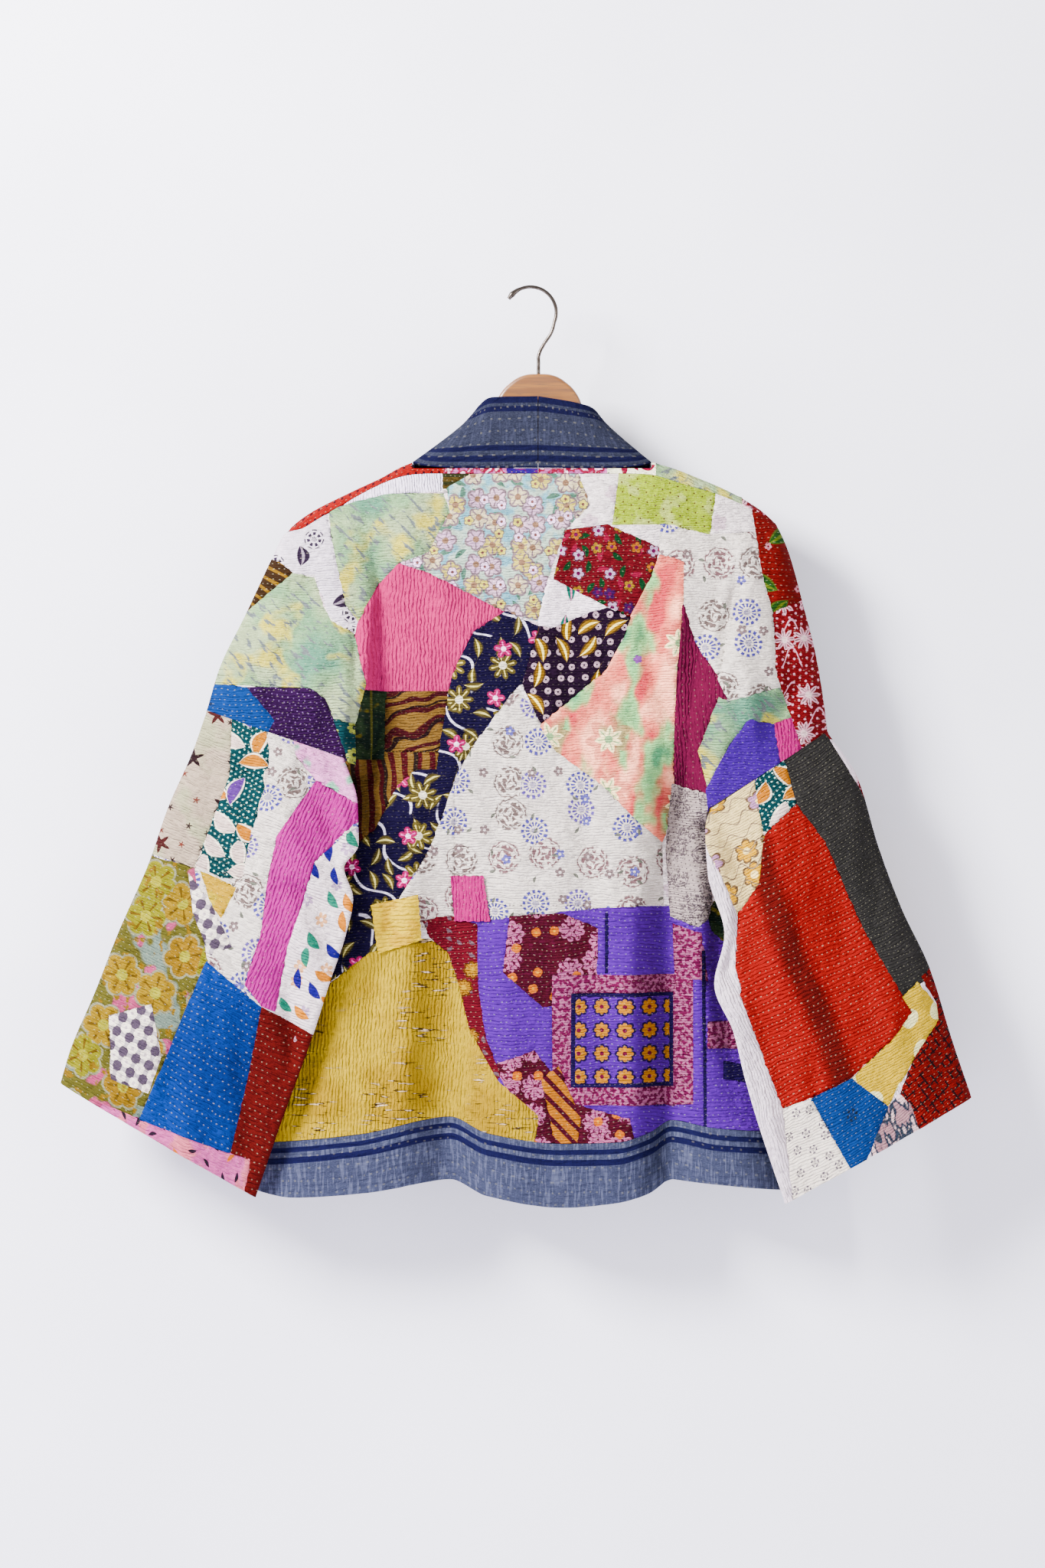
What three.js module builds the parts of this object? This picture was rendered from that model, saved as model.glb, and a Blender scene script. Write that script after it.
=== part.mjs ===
// A patchwork quilted jacket on a wooden hanger. Millimetres, +Z up.
// The origin is the underside of the hook's crown. The jacket's back faces -Y, its fronts +Y.
import * as THREE from "three";

// Driving dimensions
const clothThick = 3;
const seamGap = 0.4;
const bandGap = 1;           // the neckband's seam curves, so its pieces stand further apart
const bodyHalfDepth = 31;    // how far back and fronts stand from the middle, hanging open
const sleeveHalfDepth = 17;
const edgeHalfDepth = 2.2;   // at a side seam or fold, where back and front meet
const shoulderRound = 90;    // drop over which the cloth rounds away from the shoulder line
const edgeRound = 55;
const backColumns = 34;      // grid columns shared by the back panel and its hem band
const steepRoom = 3.2;       // extra share of it on the steep side of a drop shoulder's fold
const foldWidth = 22;        // width of the step where a drop shoulder folds over the body
const neckSeam = -164.6;     // height of the back neck seam
const neckHalf = 108;        // half the width of the neckband at the shoulder
const centreBack = 5.5;
const frontHemTop = -757;
const frontHemBottom = -808;
const patchThick = 1.2;
const patchLift = 3.2;       // from the back panel's middle surface to the patch's
const hangerThick = 12;
const wireRadius = 1.65;
const hookRadius = 23.4;
const hookCentre = { x: -1.4, z: -21.7 };
const stemX = 6;

// Shoulder line and drop-shoulder outline, seen from the back
const shoulderLine = [
  { x: -293, z: -384 }, { x: -281, z: -344 }, { x: -261, z: -302 }, { x: -236, z: -249 },
  { x: -224, z: -224 }, { x: -204, z: -206 }, { x: -168, z: -187 }, { x: -139, z: -173.5 },
  { x: -108, z: -159 }, { x: -90, z: -158 }, { x: 90, z: -158 }, { x: 108, z: -159 },
  { x: 157, z: -175 }, { x: 199, z: -196 }, { x: 220, z: -214 }, { x: 231, z: -239 },
  { x: 243, z: -282 }, { x: 255, z: -330 }, { x: 262, z: -372 }, { x: 266, z: -403 },
];
// How far each front comes over the shoulder on to the back
const wrapWidth = [
  { x: -224, w: 0.6 }, { x: -204, w: 12 }, { x: -168, w: 9 }, { x: -139, w: 7 }, { x: -108, w: 11.8 },
  { x: 106, w: 12 }, { x: 128, w: 13 }, { x: 163, w: 9.6 }, { x: 199, w: 6 }, { x: 220, w: 0.6 },
];
// The band round the back hem: its seam above, its edge below, lifted where the back falls in
const hemLine = [
  { x: -250, top: -775, bottom: -818 }, { x: -217, top: -772, bottom: -823 },
  { x: -152, top: -765, bottom: -819 }, { x: -96, top: -753, bottom: -810 },
  { x: -74, top: -751, bottom: -808 }, { x: -40, top: -765, bottom: -822 },
  { x: 28, top: -774, bottom: -832 }, { x: 75, top: -773, bottom: -828 },
  { x: 105, top: -765, bottom: -820 }, { x: 129, top: -754, bottom: -808 },
  { x: 165, top: -760, bottom: -811 }, { x: 230, top: -765, bottom: -818 },
];
// Vertical folds that fall in from the back panel, and how each wanders as it goes down
const backFolds = [
  { x: -75, drift: 0, start: -400, end: -640, depth: 25, width: 30 },
  { x: 128, drift: -8, start: -430, end: -600, depth: 29, width: 18 },
];
// One row of outlines for each side of the jacket
const sides = {
  left: {
    sign: -1,
    outline: [{ z: -224, x: -224 }, { z: -249, x: -236 }, { z: -302, x: -261 }, { z: -344, x: -281 },
      { z: -384, x: -293 }],
    fold: [{ z: -196, x: -168 }, { z: -300, x: -160 }, { z: -380, x: -161 }, { z: -427, x: -168 }],
    seamDepth: { outer: -22, inner: -50 },
    sideSeam: [{ z: -427, x: -167.5 }, { z: -445, x: -166 }, { z: -475, x: -180 }, { z: -520, x: -203 },
      { z: -800, x: -246 }, { z: -830, x: -249 }],
    sleeveOuter: [{ z: -385, x: -293 }, { z: -422, x: -306 }, { z: -472, x: -328 }, { z: -521, x: -345 },
      { z: -585, x: -373 }, { z: -641, x: -395 }, { z: -690, x: -416 }, { z: -720, x: -425 }],
    sleeveInner: [{ z: -428.5, x: -170 }, { z: -467, x: -158 }, { z: -504, x: -157 }, { z: -525, x: -170 },
      { z: -553, x: -162 }, { z: -583, x: -168 }, { z: -628, x: -183 }, { z: -675, x: -198 },
      { z: -760, x: -229 }, { z: -821, x: -250 }],
  },
  right: {
    sign: 1,
    outline: [{ z: -214, x: 220 }, { z: -239, x: 231 }, { z: -282, x: 243 }, { z: -330, x: 255 },
      { z: -372, x: 262 }, { z: -403, x: 266 }],
    fold: [{ z: -200, x: 199 }, { z: -245, x: 197 }, { z: -356, x: 168 }, { z: -472, x: 159 }],
    seamDepth: { outer: -22, inner: -50 },
    sideSeam: [{ z: -472, x: 158.5 }, { z: -490, x: 157 }, { z: -520, x: 172 }, { z: -565, x: 196 },
      { z: -800, x: 226 }, { z: -830, x: 228 }],
    sleeveOuter: [{ z: -404, x: 266 }, { z: -442, x: 292 }, { z: -507, x: 312 }, { z: -563, x: 333 },
      { z: -616, x: 358 }, { z: -683, x: 379 }, { z: -733, x: 396 }],
    sleeveInner: [{ z: -473.5, x: 161 }, { z: -491, x: 157 }, { z: -530, x: 159 }, { z: -585, x: 174 },
      { z: -630, x: 165 }, { z: -672, x: 182 }, { z: -712, x: 192 }, { z: -753, x: 204 },
      { z: -827, x: 229 }],
  },
};
// Depth of a sleeve's middle surface from its seam down to the cuff
const sleeveDepth = [
  { f: 0, outer: -22, inner: -50, half: 17 }, { f: 0.1, outer: -22, inner: -60, half: 18 },
  { f: 0.45, outer: -22, inner: -58, half: 20 }, { f: 1, outer: -22, inner: -44, half: 17 },
];
// Neckband stations from centre back over the shoulder and down the front edge.
// seam* is the edge sewn to the body, free* the folded edge.
const bandLeft = [
  { seamX: 5.2, seamY: -13, seamZ: -163.4, freeX: 5.2, freeY: -10.5, freeZ: -98.6 },
  { seamX: -36, seamY: -13, seamZ: -163.4, freeX: -35, freeY: -10, freeZ: -99.3 },
  { seamX: -75, seamY: -12.6, seamZ: -163.2, freeX: -46, freeY: -4, freeZ: -106 },
  { seamX: -98, seamY: -9.5, seamZ: -161.6, freeX: -52, freeY: 5, freeZ: -113.5 },
  { seamX: -107.5, seamY: 0, seamZ: -158.5, freeX: -55, freeY: 14, freeZ: -121 },
];
const bandRight = [
  { seamX: 5.8, seamY: -13, seamZ: -163.4, freeX: 5.8, freeY: -10.5, freeZ: -98.6 },
  { seamX: 44, seamY: -13, seamZ: -163.4, freeX: 38, freeY: -9.5, freeZ: -104 },
  { seamX: 78, seamY: -12.6, seamZ: -163.2, freeX: 53, freeY: -3, freeZ: -108.5 },
  { seamX: 98, seamY: -9.5, seamZ: -161.6, freeX: 60, freeY: 6, freeZ: -115 },
  { seamX: 107.5, seamY: 0, seamZ: -158.5, freeX: 63, freeY: 15, freeZ: -122 },
];
const bandFront = [
  { seamX: 107.5, seamY: 12, seamZ: -164, freeX: 52, freeY: 22, freeZ: -137 },
  { seamX: 101, seamY: 22, seamZ: -186, freeX: 41, freeY: 28, freeZ: -171 },
  { seamX: 90, seamY: 28, seamZ: -230, freeX: 27, freeY: 32, freeZ: -225 },
  { seamX: 78, seamY: 28, seamZ: -300, freeX: 13, freeY: 31, freeZ: -300 },
  { seamX: 70, seamY: 28, seamZ: -450, freeX: 6, freeY: 30, freeZ: -450 },
  { seamX: 68, seamY: 28, seamZ: -620, freeX: 4, freeY: 29, freeZ: -620 },
  { seamX: 68, seamY: 28, seamZ: -808, freeX: 4, freeY: 29, freeZ: -808 },
];
// Corners of the two small squares sewn on the back: upper left, upper right, lower right, lower left
const yellowSquare = [{ x: -145, z: -559 }, { x: -103, z: -550 }, { x: -100, z: -591 }, { x: -139, z: -603 }];
const pinkSquare = [{ x: -74, z: -533 }, { x: -44, z: -533 }, { x: -38, z: -574 }, { x: -70, z: -574 }];
// The hanger's outline: dome, then the arms' upper and lower edges, on its own centre line
const hangerRight = [
  { x: 0, z: -77.6 }, { x: 14, z: -79 }, { x: 26, z: -86 }, { x: 35, z: -96 }, { x: 40, z: -108 },
  { x: 43, z: -126 }, { x: 58, z: -143 }, { x: 104, z: -171 }, { x: 156, z: -191 }, { x: 196, z: -211 },
  { x: 205, z: -220 }, { x: 203, z: -230 }, { x: 192, z: -232 }, { x: 150, z: -214 }, { x: 96, z: -196 },
  { x: 40, z: -172 }, { x: 14, z: -160 },
];

const clamp01 = (t) => Math.min(1, Math.max(0, t));
const smooth = (t) => clamp01(t) ** 2 * (3 - 2 * clamp01(t));
const round = (t) => Math.sqrt(1 - (1 - clamp01(t)) ** 2);
const mix = (a, b, t) => a + (b - a) * t;

// Reads a table as a smooth curve: the value of column `value` where column `key` is `at`
function along(rows, key, value, at) {
  const up = rows[rows.length - 1][key] > rows[0][key] ? 1 : -1;
  if ((at - rows[0][key]) * up <= 0) return rows[0][value];
  let k = rows.findIndex((row) => (row[key] - at) * up >= 0);
  if (k < 0) return rows[rows.length - 1][value];
  const slope = (a, b) => (rows[b][value] - rows[a][value]) / (rows[b][key] - rows[a][key]);
  const tangent = (i) => {
    if (i === 0 || i === rows.length - 1) return i === 0 ? slope(0, 1) : slope(i - 1, i);
    const before = slope(i - 1, i);
    const after = slope(i, i + 1);
    return before * after <= 0 ? 0 : 2 * before * after / (before + after);
  };
  const span = rows[k][key] - rows[k - 1][key];
  const t = (at - rows[k - 1][key]) / span;
  const a = rows[k - 1][value];
  const b = rows[k][value];
  const ease = t * t * (3 - 2 * t);
  return mix(a, b, ease) + span * (tangent(k - 1) * t * (1 - t) ** 2 - tangent(k) * t * t * (1 - t));
}

const shoulderAt = (x) => along(shoulderLine, "x", "z", x);
const lastRow = (rows) => rows[rows.length - 1];

// The middle surface between back and fronts, and how far each stands from it
function hang(x, z) {
  const below = shoulderAt(x) - z;
  let middle = -5 * smooth(below / 100);
  let half = bodyHalfDepth;
  let open = round(below / shoulderRound);
  let steep = 0;
  for (const side of Object.values(sides)) {
    const underarm = lastRow(side.fold);
    const foldX = along(side.fold, "z", "x", z);
    const inward = (foldX - x) * side.sign;                   // towards the middle of the body
    const outX = along(side.outline, "z", "x", z);
    const fromOutline = (outX - x) * side.sign;
    const across = clamp01(fromOutline / ((outX - foldX) * side.sign));
    const sleeveMiddle = mix(side.seamDepth.outer, side.seamDepth.inner, across)
      * smooth((side.fold[0].z - 15 - z) / 165);
    const under = smooth((underarm.z - z) / 18);
    const fold = smooth((foldWidth - inward) / foldWidth) * smooth((side.fold[0].z - 15 - z) / 85)
      * (1 - under);
    middle = mix(middle, sleeveMiddle, fold);
    steep += 2 * Math.sqrt(fold * (1 - fold));
    half = mix(half, sleeveHalfDepth, fold);
    open *= mix(1, round(fromOutline / edgeRound), fold);
    const fromSeam = (along(side.sideSeam, "z", "x", z) - x) * side.sign;
    open *= mix(1, round(fromSeam / edgeRound), smooth((underarm.z - z) / 60));
    open *= smooth(Math.hypot(x - underarm.x, z - underarm.z) / 80);
  }
  return { middle, depth: edgeHalfDepth * (1 + steepRoom * steep) + half * open };
}

function foldIn(x, z) {
  let push = 0;
  for (const fold of backFolds) {
    const down = smooth((fold.start - z) / (fold.start - fold.end));
    const off = (x - fold.x - fold.drift * down) / fold.width;
    push += fold.depth * down * Math.exp(-off * off);
  }
  return push;
}

const backY = (x, z) => hang(x, z).middle - hang(x, z).depth + foldIn(x, z);
const frontY = (x, z) => hang(x, z).middle + hang(x, z).depth;
// A point of a surface y = depthAt(x, z), with the way the cloth faces there
function onSurface(depthAt, x, z) {
  const point = new THREE.Vector3(x, depthAt(x, z), z);
  const step = 2;
  const acrossSlope = (depthAt(x + step, z) - depthAt(x - step, z)) / (2 * step);
  const downSlope = (depthAt(x, z + step) - depthAt(x, z - step)) / (2 * step);
  point.facing = new THREE.Vector3(acrossSlope, -1, downSlope).normalize();
  return point;
}
const onBack = (x, z) => onSurface(backY, x, z);
const onFront = (x, z) => onSurface(frontY, x, z);

// A closed wall of cloth through a grid of points. has(i, j) says which cells are cloth;
// a wrapped grid joins its last column to its first.
function clothWall(columns, rows, pointAt, has = () => true, wrapped = false, thick = clothThick) {
  const across = wrapped ? columns : columns + 1;
  const id = (i, j) => j * across + (i % across);
  const points = [];
  for (let j = 0; j <= rows; j += 1) {
    for (let i = 0; i < across; i += 1) points.push(pointAt(i, j));
  }
  const faces = [];
  for (let j = 0; j < rows; j += 1) {
    for (let i = 0; i < columns; i += 1) {
      if (!has(i, j)) continue;
      faces.push([id(i, j), id(i, j + 1), id(i + 1, j + 1)], [id(i, j), id(i + 1, j + 1), id(i + 1, j)]);
    }
  }
  const normals = points.map(() => new THREE.Vector3());
  for (const [a, b, c] of faces) {
    const one = new THREE.Vector3().subVectors(points[b], points[a]);
    const two = new THREE.Vector3().subVectors(points[c], points[a]);
    const normal = one.cross(two);
    for (const corner of [a, b, c]) normals[corner].add(normal);
  }
  const positions = [];
  const put = (corner, side) => {
    const p = points[corner].clone().addScaledVector(normals[corner], side * thick / 2);
    positions.push(p.x, p.y, p.z);
  };
  normals.forEach((normal, corner) => {
    const { facing } = points[corner];
    if (facing && normal.lengthSq() > 0) {
      const side = Math.sign(facing.dot(normal));
      normal.copy(facing).multiplyScalar(side);
    }
    normal.normalize();
  });
  const edges = new Set(faces.flatMap(([a, b, c]) => [`${a},${b}`, `${b},${c}`, `${c},${a}`]));
  for (const [a, b, c] of faces) {
    [a, b, c].forEach((corner) => put(corner, 1));
    [a, c, b].forEach((corner) => put(corner, -1));
    for (const [from, to] of [[a, b], [b, c], [c, a]]) {
      if (edges.has(`${to},${from}`)) continue;
      put(to, 1);
      put(from, 1);
      put(from, -1);
      put(to, 1);
      put(from, -1);
      put(to, -1);
    }
  }
  const geometry = new THREE.BufferGeometry();
  geometry.setAttribute("position", new THREE.Float32BufferAttribute(positions, 3));
  geometry.computeVertexNormals();
  return geometry;
}

// A point of a drop shoulder, from its outline (across 0) to its fold (across 1), top to seam
function shoulderPoint(side, across, down) {
  const first = side.outline[0];
  const last = lastRow(side.outline);
  const outZ = mix(first.z, last.z, down);
  const foldTop = side.fold[0];
  const foldZ = mix(foldTop.z, lastRow(side.fold).z, down);
  return {
    x: mix(along(side.outline, "z", "x", outZ), along(side.fold, "z", "x", foldZ), across),
    z: mix(outZ, foldZ, across),
  };
}

function backPanel() {
  const wing = 6;
  const middle = backColumns;
  const columns = wing * 2 + middle;
  const upper = 8;
  const lower = 14;
  const { left, right } = sides;
  const inWing = (i) => i < wing || i > columns - wing;
  const pointAt = (i, j) => {
    const down = Math.min(1, j / upper);
    if (inWing(i)) {
      const side = i < wing ? left : right;
      const p = shoulderPoint(side, (i < wing ? i : columns - i) / wing, down);
      const top = shoulderAt(p.x) - along(wrapWidth, "x", "w", p.x);
      return onBack(p.x, Math.min(p.z, mix(top, p.z, down)));
    }
    const u = (i - wing) / middle;
    const levelLeft = lastRow(left.fold).z;
    const levelRight = lastRow(right.fold).z;
    if (j <= upper) {
      const zLeft = mix(left.fold[0].z, levelLeft, down);
      const zRight = mix(right.fold[0].z, levelRight, down);
      const x = mix(along(left.fold, "z", "x", zLeft), along(right.fold, "z", "x", zRight), u);
      const top = shoulderAt(x) - along(wrapWidth, "x", "w", x);
      return onBack(x, mix(top, mix(levelLeft, levelRight, u), down));
    }
    const t = ((j - upper) / lower) ** 1.25;
    const zLeft = mix(levelLeft, hemLine[0].top, t);
    const zRight = mix(levelRight, lastRow(hemLine).top, t);
    const x = mix(along(left.sideSeam, "z", "x", zLeft), along(right.sideSeam, "z", "x", zRight), u);
    return onBack(x, mix(mix(levelLeft, levelRight, u), along(hemLine, "x", "top", x), t));
  };
  return clothWall(columns, upper + lower, pointAt,
    (i, j) => j < upper || (i >= wing && i < columns - wing));
}

function backHem() {
  const columns = backColumns;
  const pointAt = (i, j) => {
    const seamLeft = along(sides.left.sideSeam, "z", "x", -775 - 45 * j / 2);
    const seamRight = along(sides.right.sideSeam, "z", "x", -765 - 50 * j / 2);
    const x = mix(seamLeft, seamRight, i / columns);
    const top = along(hemLine, "x", "top", x) - seamGap;
    return onBack(x, mix(top, along(hemLine, "x", "bottom", x), j / 2));
  };
  return clothWall(columns, 2, pointAt);
}

// Where the neckband's seam runs down the front, at height z
function bandSeamAt(z) {
  return along(bandFront, "seamZ", "seamX", z) + bandGap;
}

function frontPanel(side) {
  const wing = 5;
  const body = 9;
  const neck = 8;
  const wrap = 2;
  const upper = 9;
  const lower = 12;
  const level = lastRow(side.fold).z;
  const columns = wing + body + neck;
  const pointAt = (i, j) => {
    const over = Math.min(0, j - wrap);                       // -2 and -1 lie over on the back
    const down = clamp01((j - wrap) / upper);
    if (i > wing + body) {
      const t = (i - wing - body) / neck;
      const x = mix(side.sign * (neckHalf + 0.5), centreBack + side.sign * seamGap / 2, t);
      const z = over < -1 ? shoulderAt(x) - along(wrapWidth, "x", "w", x) + seamGap : neckSeam - seamGap;
      return onBack(x, z);
    }
    let p;
    if (i < wing) {
      p = shoulderPoint(side, i / wing, down);
      if (j <= wrap) p.z = shoulderAt(p.x);
    } else {
      const u = (i - wing) / body;
      if (j <= wrap + upper) {
        const foldZ = mix(side.fold[0].z, level, down);
        const edge = bandSeamAt(mix(shoulderAt(side.sign * neckHalf), level, down));
        const x = mix(along(side.fold, "z", "x", foldZ), side.sign * edge, u);
        p = { x, z: mix(shoulderAt(x), level, down) };
      } else {
        const t = ((j - wrap - upper) / lower) ** 1.2;
        const z = mix(level, frontHemTop, t);
        p = { x: mix(along(side.sideSeam, "z", "x", z), side.sign * bandSeamAt(z), u), z };
      }
    }
    if (over === 0 && j === wrap) return new THREE.Vector3(p.x, hang(p.x, p.z).middle, p.z);
    if (over === 0) return onFront(p.x, p.z);
    const width = along(wrapWidth, "x", "w", p.x) - seamGap;
    return onBack(p.x, p.z - width * (over < -1 ? 1 : 0.46));
  };
  const has = (i, j) => {
    if (i >= wing + body) return j < 1;
    if (j < wrap) return i >= 1;
    return j < wrap + upper || i >= wing;
  };
  return clothWall(columns, wrap + upper + lower, pointAt, has);
}

function frontHem(side) {
  const columns = 10;
  const pointAt = (i, j) => {
    const z = mix(frontHemTop - seamGap, frontHemBottom, j / 2);
    return onFront(mix(along(side.sideSeam, "z", "x", z), side.sign * bandSeamAt(z), i / columns), z);
  };
  return clothWall(columns, 2, pointAt);
}

function sleeve(side) {
  const around = 20;
  const rings = 12;
  const shift = seamGap + 0.2;
  const pointAt = (i, j) => {
    const f = j / rings;
    const angle = i / around * Math.PI * 2;
    const u = (1 - Math.cos(angle)) / 2;
    const outZ = mix(side.sleeveOuter[0].z, lastRow(side.sleeveOuter).z, f) - shift;
    const inZ = mix(side.sleeveInner[0].z, lastRow(side.sleeveInner).z, f) - shift;
    const outX = along(side.sleeveOuter, "z", "x", outZ);
    const inX = along(side.sleeveInner, "z", "x", inZ);
    const width = Math.hypot(outX - inX, outZ - inZ);
    const middle = mix(along(sleeveDepth, "f", "outer", f), along(sleeveDepth, "f", "inner", f), u);
    const closing = round(u * width / edgeRound) * smooth((1 - u) * width / 80);
    const thin = edgeHalfDepth * clamp01(4 * Math.abs(Math.sin(angle)));
    const half = thin + along(sleeveDepth, "f", "half", f) * closing;
    const face = i <= around / 2 ? -1 : 1;
    return new THREE.Vector3(mix(outX, inX, u), middle + face * half, mix(outZ, inZ, u));
  };
  return clothWall(around, rings, pointAt, () => true, true);
}

function neckband(side, backRows) {
  const front = bandFront.map((row) => ({ ...row, seamX: side.sign * row.seamX, freeX: side.sign * row.freeX }));
  const rows = [...backRows, ...front].map((row, at) => ({ ...row, at }));
  const steps = (rows.length - 1) * 2;
  const across = 3;
  const crown = 2;                                            // the folded band is a little full
  const pointAt = (i, j) => {
    const at = j / 2;
    const read = (name) => along(rows, "at", name, at);
    const t = i / across;
    const full = crown * Math.sin(Math.PI * t) * (at < 4 ? -1 : 1);
    const seamX = at < 5 ? read("seamX") : side.sign * along(bandFront, "seamZ", "seamX", read("seamZ"));
    return new THREE.Vector3(mix(seamX, read("freeX"), t),
      mix(read("seamY"), read("freeY"), t) + full, mix(read("seamZ"), read("freeZ"), t));
  };
  return clothWall(across, steps, pointAt);
}

// A small square of cloth from points of the back panel, moved out
function appliedSquare(corners) {
  const cells = 5;
  const [a, b, c, d] = corners;
  const pointAt = (i, j) => {
    const u = i / cells;
    const v = j / cells;
    const x = mix(mix(a.x, b.x, u), mix(d.x, c.x, u), v);
    const z = mix(mix(a.z, b.z, u), mix(d.z, c.z, u), v);
    const point = onBack(x, z);
    return point.addScaledVector(point.facing, patchLift);
  };
  return clothWall(cells, cells, pointAt, () => true, false, patchThick);
}

function hangerWood() {
  const bevel = 2;
  const right = hangerRight.map(({ x, z }) => new THREE.Vector2(stemX + x, z));
  const left = hangerRight.slice(1).reverse().map(({ x, z }) => new THREE.Vector2(stemX - x, z));
  const dome = new THREE.Shape([...right, ...left]);
  const geometry = new THREE.ExtrudeGeometry(dome, {
    depth: hangerThick - 2 * bevel, bevelEnabled: true, bevelThickness: bevel, bevelSize: bevel,
    bevelOffset: -bevel, bevelSegments: 2,
  });
  geometry.rotateX(Math.PI / 2);
  geometry.translate(0, hangerThick / 2 - bevel, 0);
  return geometry;
}

function hangerHook() {
  const route = new THREE.CurvePath();
  const point = (x, z) => new THREE.Vector3(x, 0, z);
  const onCrown = (degrees) => {
    const a = THREE.MathUtils.degToRad(degrees);
    return point(hookCentre.x + hookRadius * Math.cos(a), hookCentre.z + hookRadius * Math.sin(a));
  };
  const stops = [onCrown(148)];
  for (let degrees = 136; degrees > -20; degrees -= 12) stops.push(onCrown(degrees));
  stops.push(point(17.5, -40), point(10.5, -51), point(stemX + 0.3, -60), point(stemX, -68), point(stemX, -77.2));
  route.add(new THREE.CatmullRomCurve3(stops));
  const wire = new THREE.Shape();
  wire.absarc(0, 0, wireRadius, 0, Math.PI * 2);
  return new THREE.ExtrudeGeometry(wire, { steps: 40, curveSegments: 5, extrudePath: route });
}

const finishes = {
  quilt: { color: 0xd8cfd2, roughness: 0.9, metalness: 0 },
  handloom: { color: 0x606887, roughness: 0.92, metalness: 0 },
  yellow: { color: 0xf0d778, roughness: 0.9, metalness: 0 },
  pink: { color: 0xe164aa, roughness: 0.9, metalness: 0 },
  wood: { color: 0xcd8c50, roughness: 0.45, metalness: 0 },
  steel: { color: 0x4a4642, roughness: 0.25, metalness: 1 },
};

const jacket = new THREE.Group();
function place(name, geometry, finish) {
  const mesh = new THREE.Mesh(geometry, new THREE.MeshStandardMaterial(finishes[finish]));
  mesh.name = name;
  jacket.add(mesh);
}

place("back_panel", backPanel(), "quilt");
place("hem_back", backHem(), "handloom");
place("front_left", frontPanel(sides.left), "quilt");
place("front_right", frontPanel(sides.right), "quilt");
place("hem_front_left", frontHem(sides.left), "handloom");
place("hem_front_right", frontHem(sides.right), "handloom");
place("sleeve_left", sleeve(sides.left), "quilt");
place("sleeve_right", sleeve(sides.right), "quilt");
place("collar_left", neckband(sides.left, bandLeft), "handloom");
place("collar_right", neckband(sides.right, bandRight), "handloom");
place("patch_yellow", appliedSquare(yellowSquare), "yellow");
place("patch_pink", appliedSquare(pinkSquare), "pink");
place("hanger_wood", hangerWood(), "wood");
place("hanger_hook", hangerHook(), "steel");

export default jacket;
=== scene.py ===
import math
import bmesh
import bpy
import numpy as np
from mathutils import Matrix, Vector, noise
from mathutils.geometry import delaunay_2d_cdt


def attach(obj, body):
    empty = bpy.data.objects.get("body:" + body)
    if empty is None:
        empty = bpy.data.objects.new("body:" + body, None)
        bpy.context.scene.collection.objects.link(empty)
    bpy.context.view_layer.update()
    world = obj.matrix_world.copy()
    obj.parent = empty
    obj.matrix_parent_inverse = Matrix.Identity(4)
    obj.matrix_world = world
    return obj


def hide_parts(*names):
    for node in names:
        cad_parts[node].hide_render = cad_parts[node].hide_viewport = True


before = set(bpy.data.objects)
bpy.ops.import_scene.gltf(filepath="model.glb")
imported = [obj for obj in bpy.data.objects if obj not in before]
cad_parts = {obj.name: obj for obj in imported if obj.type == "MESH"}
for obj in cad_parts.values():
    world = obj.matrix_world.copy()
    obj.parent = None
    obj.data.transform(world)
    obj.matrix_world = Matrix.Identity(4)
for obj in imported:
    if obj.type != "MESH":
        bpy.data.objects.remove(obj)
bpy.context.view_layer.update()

mm = 0.001
upright = math.pi / 2

# how the jacket hangs: the same sizes as its solids, in millimetres

drape = {
    "clothThick": 2.8,
    "bodyHalfDepth": 31,      # back and fronts from the middle
    "sleeveHalfDepth": 17,
    "edgeHalfDepth": 2.2,     # at seams and folds
    "shoulderRound": 90,
    "edgeRound": 55,
    "steepRoom": 3.2,
    "foldWidth": 22,
    "lean": (-5, 100),        # the whole leans back by this much over this drop
    "foldAbove": 15,          # an arm's fold starts this far below its first point
    "foldEase": 85,           # and eases in over this drop
    "sleeveEase": 165,
    "underEase": 18,
    "sideEase": 60,
    "underSpread": 80,        # thin within this of the underarm point
    "neckSeam": -164.6,
    "neckHalf": 108,
    "centreBack": 5.5,
    "patchSeam": 0.8,         # how far the line between two patches is drawn in
    "flatRim": 14,            # the cloth lies smooth this near an edge
    "flatShoulder": 30,
    "frontHemTop": -757,
    "frontHemBottom": -808,
}
shoulderLine = [
    (-293, -384), (-281, -344), (-261, -302), (-236, -249), (-224, -224), (-204, -206), (-168, -187),
    (-139, -173.5), (-108, -159), (-90, -158), (90, -158), (108, -159), (157, -175), (199, -196),
    (220, -214), (231, -239), (243, -282), (255, -330), (262, -372), (266, -403),
]
wrapWidth = [
    (-224, 0.6), (-204, 12), (-168, 9), (-139, 7), (-108, 11.8), (106, 12), (128, 13), (163, 9.6),
    (199, 6), (220, 0.6),
]
hemTop = [
    (-250, -775), (-217, -772), (-152, -765), (-96, -753), (-74, -751), (-40, -765), (28, -774),
    (75, -773), (105, -765), (129, -754), (165, -760), (230, -765),
]
hemBottom = [
    (-250, -818), (-217, -823), (-152, -819), (-96, -810), (-74, -808), (-40, -822), (28, -832),
    (75, -828), (105, -820), (129, -808), (165, -811), (230, -818),
]
backFolds = [
    {"x": -75, "drift": 0, "start": -400, "end": -640, "depth": 25, "width": 30},
    {"x": 128, "drift": -8, "start": -430, "end": -600, "depth": 29, "width": 18},
]
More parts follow.
